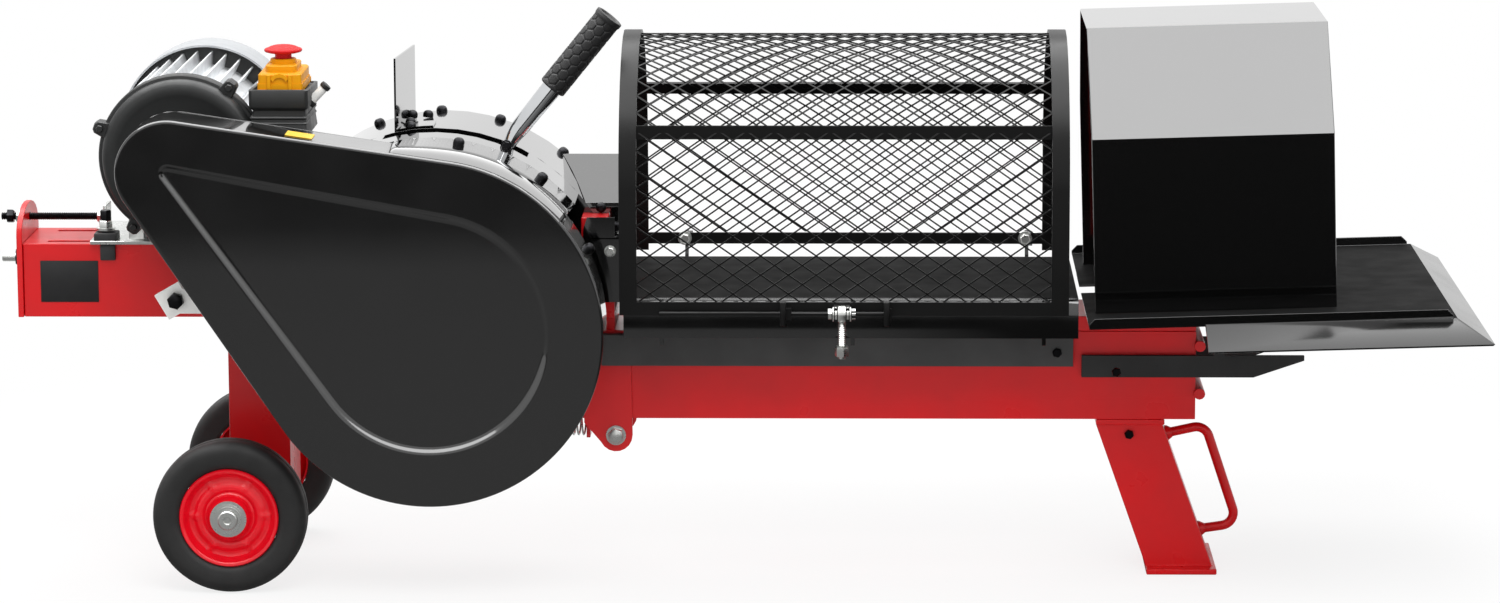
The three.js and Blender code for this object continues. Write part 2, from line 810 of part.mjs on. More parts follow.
// Outfeed tray: a sheet with raised rims, sloping aprons and a slot for the wedge.
function outfeedTray() {
  const deck = block(TRAY_LEFT, TRAY_RIGHT, -TRAY_HALF, TRAY_HALF, TRAY_Z - SHEET, TRAY_Z);
  const slotHalf = WEDGE_THICK / 2 + RUN_GAP;
  const slot = block(
    TRAY_LEFT - PLATE,
    WEDGE_LEFT + WEDGE_LENGTH + RUN_GAP,
    -slotHalf,
    slotHalf,
    TRAY_Z - 40,
    TRAY_Z + 40,
  );
  const rimProfile = [
    [TRAY_LEFT, TRAY_Z - SHEET],
    [TRAY_RIGHT - 4, TRAY_Z - SHEET],
    [TRAY_RIGHT - 4, TRAY_Z + TRAY_RIM - 6],
    [TRAY_RIGHT - 10, TRAY_Z + TRAY_RIM],
    [TRAY_LEFT + 6, TRAY_Z + TRAY_RIM],
    [TRAY_LEFT, TRAY_Z + TRAY_RIM - 6],
  ];
  const rims = [
    sweepY(rimProfile, -TRAY_HALF, -TRAY_HALF + SHEET),
    sweepY(rimProfile, TRAY_HALF - SHEET, TRAY_HALF),
  ];
  const low = TRAY_Z - APRON_DROP;
  const slope = (side) => [
    [side * (TRAY_HALF - SHEET), TRAY_Z],
    [side * TRAY_HALF, TRAY_Z],
    [side * (TRAY_HALF + APRON_REACH), low],
    [side * (TRAY_HALF + APRON_REACH - SHEET), low - SHEET],
    [side * (TRAY_HALF - SHEET), TRAY_Z - SHEET],
  ];
  const right = TRAY_RIGHT + APRON_REACH;
  const sides = [-1, 1].map((side) => sweepX(slope(side), APRON_LEFT, right));
  const end = sweepY(
    [
      [TRAY_RIGHT - SHEET, TRAY_Z],
      [TRAY_RIGHT, TRAY_Z],
      [right, low],
      [right - SHEET, low - SHEET],
      [TRAY_RIGHT - SHEET, TRAY_Z - SHEET],
    ],
    -TRAY_HALF - APRON_REACH,
    TRAY_HALF + APRON_REACH,
  );
  // The aprons meet along mitred corners.
  const mitre = (side) =>
    sweepZ(
      [
        [TRAY_RIGHT, side * TRAY_HALF],
        [right + PLATE, side * (TRAY_HALF + APRON_REACH + PLATE)],
        [APRON_LEFT - PLATE, side * (TRAY_HALF + APRON_REACH + PLATE)],
        [APRON_LEFT - PLATE, side * TRAY_HALF],
      ],
      low - PLATE * 2,
      TRAY_Z + PLATE,
    );
  const beyond = (side) =>
    sweepZ(
      [
        [TRAY_RIGHT, side * TRAY_HALF],
        [right + PLATE, side * (TRAY_HALF + APRON_REACH + PLATE)],
        [right + PLATE, 0],
        [TRAY_RIGHT, 0],
      ],
      low - PLATE * 2,
      TRAY_Z + PLATE,
    );
  const trimmedSides = sides.map((form, i) => cut(form, beyond(i ? 1 : -1)));
  const trimmedEnd = cut(end, mitre(-1), mitre(1));
  const tray = cut(join(deck, ...rims, ...trimmedSides, trimmedEnd), slot);
  addNode("outfeed_tray", tilted(tray), BLACK);
}
outfeedTray();

// Hood: a bent sheet tunnel over the wedge, open at both ends.
function hood() {
  const foot = TRAY_Z + GAP;
  const slant = Math.hypot(HOOD_HALF - HOOD_TOP_HALF, HOOD_TOP - HOOD_SHOULDER);
  const inset = (SHEET * (slant - (HOOD_TOP - HOOD_SHOULDER))) / (HOOD_HALF - HOOD_TOP_HALF);
  const half = [
    [HOOD_HALF, foot],
    [HOOD_HALF, HOOD_SHOULDER],
    [HOOD_TOP_HALF, HOOD_TOP],
  ];
  const inner = [
    [HOOD_TOP_HALF - inset, HOOD_TOP - SHEET],
    [HOOD_HALF - SHEET, HOOD_SHOULDER - inset],
    [HOOD_HALF - SHEET, foot],
  ];
  const mirrored = (points) => points.map(([y, z]) => [-y, z]).reverse();
  const profile = [...half, ...mirrored(half), ...mirrored(inner), ...inner];
  addNode("hood", tilted(sweepX(profile, HOOD_LEFT, HOOD_RIGHT)), BLACK);
}
hood();

// Splitting wedge: a blade with spreading cheeks on a base plate at the end of the beam.
function splittingWedge() {
  const half = WEDGE_THICK / 2;
  const blade = [
    [WEDGE_LEFT, 0],
    [WEDGE_LEFT + 22, -5],
    [WEDGE_LEFT + 75, -half],
    [WEDGE_LEFT + WEDGE_LENGTH, -half],
    [WEDGE_LEFT + WEDGE_LENGTH, half],
    [WEDGE_LEFT + 75, half],
    [WEDGE_LEFT + 22, 5],
  ];
  const base = block(
    TABLE_RIGHT + RUN_GAP,
    WEDGE_LEFT + WEDGE_LENGTH,
    -BEAM_HALF,
    BEAM_HALF,
    BEAM_TOP + GAP,
    BEAM_TOP + 16,
  );
  addNode("splitting_wedge", join(sweepZ(blade, BEAM_TOP + 12, WEDGE_TOP), base), RED);
}
splittingWedge();

// Roller bracket: two cheeks hanging from the beam, joined by a web that also holds the spring.
function rollerGroup() {
  const inner = BEAM_HALF + GAP;
  const eye = ROLLER_D / 2;
  const profile = [
    [CHEEK_LEFT, BEAM_TOP - 20],
    [CHEEK_LEFT, BEAM_BOTTOM - 4],
    ...arc(ROLLER_X, ROLLER_Z, eye, 205, 360, 8),
    [CHEEK_RIGHT, BEAM_TOP - 20],
  ];
  const boltHole = barY(ROLLER_BOLT_D / 2 + GAP, ROLLER_X, ROLLER_Z, -inner * 2, inner * 2, 12);
  const cheeks = [
    sweepY(profile, -inner - PLATE, -inner),
    sweepY(profile, inner, inner + PLATE),
  ];
  const webTop = BEAM_BOTTOM - GAP;
  const webRight = ROLLER_X - ROLLER_D / 2 - RUN_GAP;
  const web = block(CHEEK_LEFT, webRight, -inner - 1, inner + 1, webTop - PLATE, webTop);
  const tab = block(
    CHEEK_LEFT,
    CHEEK_LEFT + PLATE,
    -SPRING_R,
    SPRING_R,
    ROLLER_Z - SPRING_R,
    webTop - PLATE / 2,
  );
  addNode("roller_bracket", cut(join(...cheeks, web, tab), boltHole), RED);

  const rollerHalf = inner - RUN_GAP;
  const roller = turnedY(
    [
      [ROLLER_BOLT_D / 2 + GAP, -rollerHalf],
      [ROLLER_D / 2 - 4, -rollerHalf],
      [ROLLER_D / 2 - 4, -rollerHalf + 26],
      [ROLLER_D / 2 - 9, -rollerHalf + 30],
      [ROLLER_D / 2 - 9, rollerHalf - 30],
      [ROLLER_D / 2 - 4, rollerHalf - 26],
      [ROLLER_D / 2 - 4, rollerHalf],
      [ROLLER_BOLT_D / 2 + GAP, rollerHalf],
    ],
    ROLLER_X,
    ROLLER_Z,
    16,
  );
  addNode("return_roller", roller, ZINC);

  const face = inner + PLATE + GAP;
  const bolt = join(
    barY(ROLLER_BOLT_D / 2, ROLLER_X, ROLLER_Z, -face - 6, face + 6, 16),
    barY(11, ROLLER_X, ROLLER_Z, -face - 2, -face, 20),
    barY(11, ROLLER_X, ROLLER_Z, face, face + 2, 20),
    barY(9, ROLLER_X, ROLLER_Z, -face - 7, -face - 1, 6),
    barY(9, ROLLER_X, ROLLER_Z, face + 1, face + 7, 6),
  );
  addNode("roller_bolt", bolt, ZINC);
}
rollerGroup();

// Return spring: one wire, close wound, with straight ends on its axis.
function returnSpring() {
  const mean = SPRING_R - SPRING_WIRE / 2;
  const perTurn = 6;
  const steps = SPRING_TURNS * perTurn;
  const start = SPRING_LEFT + SPRING_END;
  const coil = Array.from({ length: steps + 1 }, (_, i) => {
    const angle = (2 * Math.PI * i) / perTurn;
    const x = start + (SPRING_TURNS * SPRING_PITCH * i) / steps;
    return new THREE.Vector3(x, mean * Math.sin(angle), ROLLER_Z + mean * Math.cos(angle));
  });
  const onAxis = (x) => new THREE.Vector3(x, 0, ROLLER_Z);
  const marks = [
    onAxis(SPRING_LEFT),
    onAxis(SPRING_LEFT + SPRING_WIRE),
    ...coil,
    onAxis(SPRING_RIGHT - SPRING_WIRE),
    onAxis(SPRING_RIGHT),
  ];
  const gaps = coil
    .slice(0, steps - perTurn + 2)
    .map((mark, i) => mark.distanceTo(coil[Math.min(i + perTurn, steps)]) - SPRING_WIRE);
  console.log("return_spring least gap to itself", Math.min(...gaps.slice(0, -2)).toFixed(2), "mm");
  addNode("return_spring", tube(marks, SPRING_WIRE / 2, 5), ZINC);
}
returnSpring();

// A teardrop outline round the flywheel and the motor pulley.
function teardrop(bigR, smallR, bigSteps = 20, smallSteps = 8) {
  const dx = MOTOR_X - SHAFT_X;
  const dz = MOTOR_Z - SHAFT_Z;
  const between = THREE.MathUtils.radToDeg(Math.atan2(dz, dx));
  const touch = THREE.MathUtils.radToDeg(Math.acos((bigR - smallR) / Math.hypot(dx, dz)));
  return [
    ...arc(SHAFT_X, SHAFT_Z, bigR, between + touch, between + 360 - touch, bigSteps),
    ...arc(MOTOR_X, MOTOR_Z, smallR, between - touch, between + touch, smallSteps),
  ];
}

// A sweep along Y whose near edge is rounded off.
function roundedSweepY(points, y0, y1, edge) {
  const geometry = new THREE.ExtrudeGeometry(outline(points), {
    depth: y1 - y0,
    bevelSize: edge,
    bevelOffset: -edge,
    bevelThickness: edge,
    bevelSegments: 2,
  });
  const form = solid(geometry.rotateX(Math.PI / 2).translate(0, y1 + edge, 0));
  return cut(form, block(-900, 900, y1, y1 + edge * 3, -100, 900));
}

// Belt guard: a pressed shell with a recessed teardrop, and a flat back plate.
function beltGuard() {
  const edge = 6;
  const outer = roundedSweepY(teardrop(GUARD_BIG_R, GUARD_SMALL_R), GUARD_FRONT, GUARD_BACK, edge);
  const hollow = roundedSweepY(
    teardrop(GUARD_BIG_R - SHEET, GUARD_SMALL_R - SHEET),
    GUARD_FRONT + SHEET,
    GUARD_BACK + PLATE,
    edge - SHEET,
  );
  const floorY = GUARD_FRONT + EMBOSS_DEPTH;
  const recessForm = new THREE.ExtrudeGeometry(outline(teardrop(EMBOSS_BIG_R, EMBOSS_SMALL_R)), {
    depth: 1,
    bevelSize: EMBOSS_SLOPE,
    bevelThickness: EMBOSS_DEPTH,
    bevelSegments: 1,
  });
  const recess = solid(
    recessForm.rotateX(Math.PI / 2).translate(0, floorY - EMBOSS_DEPTH, 0),
  );
  const backing = sweepY(
    teardrop(EMBOSS_BIG_R + EMBOSS_SLOPE, EMBOSS_SMALL_R + EMBOSS_SLOPE),
    GUARD_FRONT,
    floorY + SHEET,
  );
  addNode("belt_guard", cut(outer, recess, cut(hollow, backing)), BLACK);

  const backY = GUARD_BACK + GAP;
  const plate = cut(
    sweepY(teardrop(GUARD_BIG_R, GUARD_SMALL_R), backY, backY + SHEET),
    barY(SHAFT_D / 2 + 4, SHAFT_X, SHAFT_Z, backY - 1, backY + SHEET + 1),
    barY(MOTOR_SHAFT_D / 2 + 6, MOTOR_X, MOTOR_Z, backY - 1, backY + SHEET + 1),
  );
  addNode("belt_guard_back", plate, BLACK);

  // The bracket ties the back plate to the side of the rack housing.
  const near = backY + SHEET + GAP;
  const turn = 30;
  const right = BRACKET_X + BRACKET_LENGTH;
  const low = BRACKET_Z - BRACKET_R * 0.65;
  const high = BRACKET_Z + BRACKET_R * 0.6;
  const side = -HOUSING_HALF - GAP;
  const tabOutline = arc(BRACKET_X, BRACKET_Z, BRACKET_R, turn + 45, turn + 315, 3);
  const tab = sweepY(tabOutline, near, near + PLATE);
  const shelfZ = BRACKET_Z - BRACKET_R * 0.3;
  const shelf = block(BRACKET_X, right, near + PLATE / 2, side, shelfZ, shelfZ + PLATE);
  const foot = block(BRACKET_X, right, side - PLATE, side, low, high);
  const reach = block(BRACKET_X, right, near, near + PLATE, low, high);
  addNode("guard_bracket", join(tab, reach, shelf, foot), ZINC);
}
beltGuard();

// Flywheel, its shaft with the pinion, and the two bearing blocks.
function flywheelGroup() {
  const rimHalf = FLYWHEEL_RIM / 2;
  const grooveHalf = BELT_WIDTH / 2 + GAP;
  const grooveR = FLYWHEEL_R - GROOVE_DEPTH;
  const at = (r, out) => [r, FLYWHEEL_Y + out];
  const bore = SHAFT_D / 2 + GAP;
  const wheel = turnedY(
    [
      at(bore, -rimHalf + 2),
      at(HUB_R + 6, -rimHalf + 2),
      at(HUB_R + 10, -7),
      at(FLYWHEEL_R - 32, -7),
      at(FLYWHEEL_R - 28, -rimHalf),
      at(FLYWHEEL_R, -rimHalf),
      at(FLYWHEEL_R, -grooveHalf),
      at(grooveR, -grooveHalf),
      at(grooveR, grooveHalf),
      at(FLYWHEEL_R, grooveHalf),
      at(FLYWHEEL_R, rimHalf),
      at(FLYWHEEL_R - 28, rimHalf),
      at(FLYWHEEL_R - 32, 7),
      at(HUB_R + 10, 7),
      at(HUB_R + 6, rimHalf - 2),
      at(bore, rimHalf - 2),
    ],
    SHAFT_X,
    SHAFT_Z,
    24,
  );
  addNode("flywheel", wheel, STEEL);

  const shaftNear = FLYWHEEL_Y - rimHalf - 4;
  const shaftFar = HOUSING_HALF + GAP + BEARING_THICK + 4;
  const pinionHalf = RACK_WIDTH / 2 + 2;
  const teeth = Array.from({ length: PINION_TEETH }, (_, i) => {
    const step = 360 / PINION_TEETH;
    const root = PINION_R - TOOTH_DEPTH;
    const point = (r, share) => arc(SHAFT_X, SHAFT_Z, r, (i + share) * step, 0, 1)[0];
    return [point(root, -0.32), point(PINION_R, -0.14), point(PINION_R, 0.14), point(root, 0.32)];
  }).flat();
  const shaft = join(
    barY(SHAFT_D / 2, SHAFT_X, SHAFT_Z, shaftNear, shaftFar),
    sweepY(teeth, -pinionHalf, pinionHalf),
  );
  addNode("pinion_shaft", shaft, STEEL);

  for (const [label, side] of [
    ["near", -1],
    ["far", 1],
  ]) {
    const ends = [
      side * (HOUSING_HALF + GAP),
      side * (HOUSING_HALF + GAP + BEARING_THICK),
    ].sort((a, b) => a - b);
    const boss = barY(BEARING_R, SHAFT_X, SHAFT_Z, ...ends);
    const ears = block(
      SHAFT_X - BEARING_R - 16,
      SHAFT_X + BEARING_R + 16,
      side > 0 ? ends[0] : ends[0] + BEARING_THICK / 2,
      side > 0 ? ends[0] + BEARING_THICK / 2 : ends[1],
      HOUSING_BOTTOM + 4,
      HOUSING_BOTTOM + 36,
    );
    const hole = barY(SHAFT_D / 2 + GAP, SHAFT_X, SHAFT_Z, ends[0] - 1, ends[1] + 1);
    addNode(`bearing_${label}`, cut(join(boss, ears), hole), STEEL);
  }
}
flywheelGroup();

// Belt and motor pulley.
function beltDrive() {
  const bigIn = FLYWHEEL_R - GROOVE_DEPTH + GAP;
  const smallIn = PULLEY_R - GROOVE_DEPTH + GAP;
  const near = FLYWHEEL_Y - BELT_WIDTH / 2;
  const far = FLYWHEEL_Y + BELT_WIDTH / 2;
  const belt = cut(
    sweepY(teardrop(bigIn + BELT_THICK, smallIn + BELT_THICK, 36, 12), near, far),
    sweepY(teardrop(bigIn, smallIn, 36, 12), near - 1, far + 1),
  );
  addNode("drive_belt", belt, RUBBER);

  const half = PULLEY_WIDTH / 2;
  const grooveHalf = BELT_WIDTH / 2 + GAP;
  const grooveR = PULLEY_R - GROOVE_DEPTH;
  const bore = MOTOR_SHAFT_D / 2 + GAP;
  const pulley = turnedY(
    [
      [bore, FLYWHEEL_Y - half],
      [PULLEY_R, FLYWHEEL_Y - half],
      [PULLEY_R, FLYWHEEL_Y - grooveHalf],
      [grooveR, FLYWHEEL_Y - grooveHalf],
      [grooveR, FLYWHEEL_Y + grooveHalf],
      [PULLEY_R, FLYWHEEL_Y + grooveHalf],
      [PULLEY_R, FLYWHEEL_Y + half],
      [bore, FLYWHEEL_Y + half],
    ],
    MOTOR_X,
    MOTOR_Z,
    16,
  );
  addNode("motor_pulley", pulley, STEEL);
}
beltDrive();

// Motor: finned body with the stator bore, near end shield, fan cowl, rotor with its fan, base.
function motor() {
  const shieldFar = MOTOR_NEAR + SHIELD_DEPTH;
  const bodyFar = shieldFar + BODY_LENGTH;
  const cowlFar = bodyFar + COWL_DEPTH;
  const step = 360 / FIN_COUNT;
  const fins = Array.from({ length: FIN_COUNT }, (_, i) => {
    const point = (r, share) => arc(MOTOR_X, MOTOR_Z, r, (i + share) * step, 0, 1)[0];
    return [
      point(MOTOR_CORE_R, -0.22),
      point(MOTOR_R - 1, -0.1),
      point(MOTOR_R - 1, 0.1),
      point(MOTOR_CORE_R, 0.22),
    ];
  }).flat();
  const stator = cut(
    sweepY(fins, shieldFar + GAP, bodyFar - GAP),
    barY(ROTOR_R + RUN_GAP, MOTOR_X, MOTOR_Z, shieldFar - 1, bodyFar + 1),
  );
  addNode("motor_housing", stator, ALUMINIUM);

  const bore = MOTOR_SHAFT_D / 2 + GAP;
  const shield = turnedY(
    [
      [bore, MOTOR_NEAR - 2],
      [28, MOTOR_NEAR - 2],
      [32, MOTOR_NEAR + 2],
      [MOTOR_R - 12, MOTOR_NEAR + 3],
      [MOTOR_R - 4, MOTOR_NEAR + 8],
      [MOTOR_R, MOTOR_NEAR + 16],
      [MOTOR_R, shieldFar],
      [ROTOR_R, shieldFar],
      [ROTOR_R - 4, MOTOR_NEAR + 14],
      [bore, MOTOR_NEAR + 14],
    ],
    MOTOR_X,
    MOTOR_Z,
    24,
  );
  const lugs = [55, 160, 235, 340].map((angle) => {
    const [x, z] = arc(MOTOR_X, MOTOR_Z, MOTOR_R + 3, angle, 0, 1)[0];
    return barY(9, x, z, shieldFar - 16, shieldFar - 1, 8);
  });
  addNode("motor_end_shield", join(shield, ...lugs), BLACK);

  const cowl = turnedY(
    [
      [MOTOR_R, bodyFar],
      [MOTOR_R, cowlFar - 14],
      [MOTOR_R - 5, cowlFar - 4],
      [MOTOR_R - 16, cowlFar],
      [VENT_R, cowlFar],
      [VENT_R, cowlFar - SHEET],
      [MOTOR_R - 16, cowlFar - SHEET],
      [MOTOR_R - 6, cowlFar - 6],
      [MOTOR_R - SHEET, cowlFar - 14],
      [MOTOR_R - SHEET, bodyFar],
    ],
    MOTOR_X,
    MOTOR_Z,
    24,
  );
  addNode("motor_cowl", cowl, GREY);

  const shaftNear = FLYWHEEL_Y - PULLEY_WIDTH / 2 - 3;
  const fanY = bodyFar + COWL_DEPTH / 2;
  const rotor = join(
    barY(MOTOR_SHAFT_D / 2, MOTOR_X, MOTOR_Z, shaftNear, fanY + 8),
    barY(ROTOR_R, MOTOR_X, MOTOR_Z, shieldFar + 20, bodyFar - 20),
    barY(MOTOR_R - 20, MOTOR_X, MOTOR_Z, fanY - 2, fanY + 2, 16),
  );
  addNode("motor_rotor", rotor, STEEL);

  // The base cradles the motor and carries the upright that the tension screw pushes.
  const baseZ = HOUSING_TOP + GAP;
  const cradleNear = shieldFar + 10;
  const cradleFar = HOUSING_HALF + 20;
  const half = 62;
  const slab = block(
    BASE_LEFT,
    MOTOR_X + half + 12,
    cradleNear,
    cradleFar,
    baseZ,
    baseZ + PLATE,
  );
  const sides = [-1, 1].map((side) => {
    const inner = MOTOR_X + side * (half - 16);
    const outer = MOTOR_X + side * half;
    const [x0, x1] = [inner, outer].sort((a, b) => a - b);
    return block(x0, x1, cradleNear + 10, cradleFar - 10, baseZ + PLATE / 2, baseZ + 50);
  });
  const upright = block(
    BASE_LEFT + 8,
    BASE_LEFT + 8 + PLATE,
    -16,
    16,
    baseZ + PLATE / 2,
    SCREW_Z + 14,
  );
  const room = barY(MOTOR_R - 1 + GAP, MOTOR_X, MOTOR_Z, -200, 200, 48);
  addNode("motor_base", cut(join(slab, upright, ...sides), room), ZINC);

  const screwRight = BASE_LEFT + 8 - GAP;
  const plateFace = HOUSING_LEFT - GAP - END_PLATE_THICK;
  const screw = join(
    barX(SCREW_D / 2, 0, SCREW_Z, SCREW_LEFT, screwRight, 12),
    barX(7.5, 0, SCREW_Z, plateFace - GAP - 7, plateFace - GAP, 6),
    barX(7.5, 0, SCREW_Z, SCREW_LEFT + 3, SCREW_LEFT + 9, 6),
    barX(9, 0, SCREW_Z, screwRight - 7, screwRight, 12),
  );
  addNode("tension_screw", screw, BLACK);
}
motor();

// Rack with its teeth below, and the pusher plate on its right end.
function rackGroup() {
  const right = PUSHER_BACK - GAP;
  const count = Math.floor((right - RACK_LEFT) / RACK_PITCH) - 2;
  const root = RACK_BOTTOM + TOOTH_DEPTH;
  const teeth = Array.from({ length: count }, (_, i) => {
    const x = RACK_LEFT + RACK_PITCH * (i + 0.75);
    return [
      [x, root],
      [x + RACK_PITCH * 0.2, RACK_BOTTOM],
      [x + RACK_PITCH * 0.5, RACK_BOTTOM],
      [x + RACK_PITCH * 0.7, root],
    ];
  }).flat();
  const profile = [
    [RACK_LEFT, root],
    ...teeth,
    [right, root],
    [right, RACK_TOP],
    [RACK_LEFT, RACK_TOP],
  ];
  addNode("rack", sweepY(profile, -RACK_WIDTH / 2, RACK_WIDTH / 2), STEEL);

  const bottom = TABLE_TOP + GAP;
  const pusher = block(
    PUSHER_BACK,
    PUSHER_BACK + PUSHER_THICK,
    -PUSHER_WIDTH / 2,
    PUSHER_WIDTH / 2,
    bottom,
    bottom + PUSHER_HEIGHT,
  );
  addNode("pusher_plate", pusher, RED);
}
rackGroup();

// Arched covers over the pinion and the lever, and the saddle over the end of the housing.
function covers() {
  const innerR = COVER_R - SHEET;
  const rest = THREE.MathUtils.radToDeg(Math.asin((HOUSING_TOP + GAP - SHAFT_Z) / innerR));
  const ring = (from, to, y0, y1) =>
    sweepY(
      [
        ...arc(SHAFT_X, SHAFT_Z, COVER_R, from, to, 20),
        ...arc(SHAFT_X, SHAFT_Z, innerR, to, from, 20),
      ],
      y0,
      y1,
    );
  const segment = arc(SHAFT_X, SHAFT_Z, COVER_R - SHEET / 2, rest, 180 - rest, 20);
  const nearWall = cut(
    sweepY(segment, GEAR_COVER_NEAR, GEAR_COVER_NEAR + SHEET),
    barY(BEARING_R + 2, SHAFT_X, SHAFT_Z, GEAR_COVER_NEAR - 9, GEAR_COVER_NEAR + 9),
  );
  const skirt = block(
    SHAFT_X - 75,
    SHAFT_X + 75,
    GEAR_COVER_FAR - SHEET,
    GEAR_COVER_FAR,
    SHAFT_Z - 45,
    HOUSING_TOP + 20,
  );
  const farWall = sweepY(segment, GEAR_COVER_FAR - SHEET, GEAR_COVER_FAR);
  const arch = ring(rest, 180 - rest, GEAR_COVER_NEAR, GEAR_COVER_FAR);
  addNode("gear_cover", join(arch, nearWall, farWall, skirt), BLACK);

  const leverNear = GUARD_BACK + GAP * 2 + SHEET;
  const leverFar = GEAR_COVER_NEAR - GAP;
  const slot = sweepY(
    [
      ...arc(SHAFT_X, SHAFT_Z, COVER_R + 20, LEVER_SLOT_FROM, LEVER_SLOT_TO, 12),
      ...arc(SHAFT_X, SHAFT_Z, COVER_R - 20, LEVER_SLOT_TO, LEVER_SLOT_FROM, 12),
    ],
    leverFar - LEVER_SLOT_WIDTH,
    leverFar + 1,
  );
  addNode("lever_cover", cut(ring(LEVER_COVER_END, 162, leverNear, leverFar), slot), BLACK);

  const near = SADDLE_NEAR;
  const far = SADDLE_FAR;
  const nearTop = SADDLE_NEAR_TOP;
  const farTop = SADDLE_FAR_TOP;
  const profile = [
    [near, HOUSING_TOP + GAP],
    [near, nearTop],
    [far, farTop],
    [far, HOUSING_TOP + GAP],
    [far - SHEET, HOUSING_TOP + GAP],
    [far - SHEET, farTop - SHEET * 1.3],
    [near + SHEET, nearTop - SHEET * 0.8],
    [near + SHEET, HOUSING_TOP + GAP],
  ];
  const earRoom = block(
    -900,
    HOUSING_RIGHT - PLATE + GAP,
    -HOUSING_HALF - EAR_REACH - GAP,
    0,
    HOUSING_TOP - 60,
    HOUSING_TOP + EAR_RISE + GAP,
  );
  const cylinderRoom = barY(COVER_R + GAP, SHAFT_X, SHAFT_Z, -200, 200, 96);
  const saddle = cut(sweepX(profile, SHAFT_X, SADDLE_RIGHT), cylinderRoom, earRoom);
  addNode("saddle_cover", saddle, BLACK);

  // The standing plate is folded from a foot that follows the gear cover.
  const footR = COVER_R + GAP;
  const angleAt = (x) => THREE.MathUtils.radToDeg(Math.acos((x - SHAFT_X) / footR));
  const from = angleAt(PLATE_X + 39);
  const to = angleAt(PLATE_X - SHEET / 2);
  const foot = sweepY(
    [
      ...arc(SHAFT_X, SHAFT_Z, footR, from, to, 4),
      ...arc(SHAFT_X, SHAFT_Z, footR + SHEET, to, from, 4),
    ],
    GEAR_COVER_NEAR + SHEET,
    GEAR_COVER_NEAR + 40,
  );
  const plateNear = GEAR_COVER_NEAR - 3;
  const plateTop = SHAFT_Z + COVER_R + PLATE_RISE;
  const upright = block(-SHEET / 2, SHEET / 2, 0, PLATE_DEPTH, SHAFT_Z, plateTop)
    .rotate([0, 0, -PLATE_TURN])
    .translate([PLATE_X, plateNear, 0]);
  const room = barY(footR, SHAFT_X, SHAFT_Z, -200, 200, 96);
  addNode("standing_plate", cut(join(foot, upright), room), BLACK);
}
covers();

// Control lever: a hub round the shaft, a flat arm, a chromed tube and a soft grip.
function lever() {
  const lean = THREE.MathUtils.degToRad(LEVER_LEAN);
  const along = (distance) => [
    LEVER_ENTRY_X + distance * Math.sin(lean),
    LEVER_ENTRY_Z + distance * Math.cos(lean),
  ];
  const bar = (r, from, to, sides = 16, topR = r) => {
    const geometry = new THREE.CylinderGeometry(topR, r, to - from, sides).rotateX(Math.PI / 2);
    geometry.translate(0, 0, (from + to) / 2).rotateY(lean);
    return solid(geometry.translate(LEVER_ENTRY_X, LEVER_Y, LEVER_ENTRY_Z));
  };
  const hubNear = LEVER_Y - HUB_WIDTH / 2;
  const hubFar = LEVER_Y + HUB_WIDTH / 2;
  const hub = barY(HUB_R, SHAFT_X, SHAFT_Z, hubNear, hubFar);
  const [tipX, tipZ] = along(-LEVER_INSIDE + 14);
  const arm = sweepY(
    [
      [SHAFT_X - 16, SHAFT_Z],
      [SHAFT_X + 16, SHAFT_Z],
      [tipX + 12, tipZ],
      [tipX - 12, tipZ],
    ],
    LEVER_Y - PLATE,
    LEVER_Y + PLATE,
  );
  const bore = barY(SHAFT_D / 2 + GAP, SHAFT_X, SHAFT_Z, hubNear - 1, hubFar + 1);
  const gripEnd = LEVER_OUTSIDE + GRIP_LENGTH;
  const rod = bar(LEVER_D / 2, -LEVER_INSIDE, gripEnd - PLATE * 2);
  addNode("control_lever", cut(join(hub, arm, rod), bore), CHROME);

  const grip = join(
    bar(GRIP_D / 2 - 1, LEVER_OUTSIDE, LEVER_OUTSIDE + 4, 16, GRIP_D / 2),
    bar(GRIP_D / 2, LEVER_OUTSIDE + 4, gripEnd - 5),
    bar(GRIP_D / 2, gripEnd - 5, gripEnd, 16, GRIP_D / 2 - 3),
  );
  addNode("lever_grip", cut(grip, bar(LEVER_D / 2 + GAP, 0, gripEnd - PLATE * 2 + GAP)), RUBBER);
}
lever();

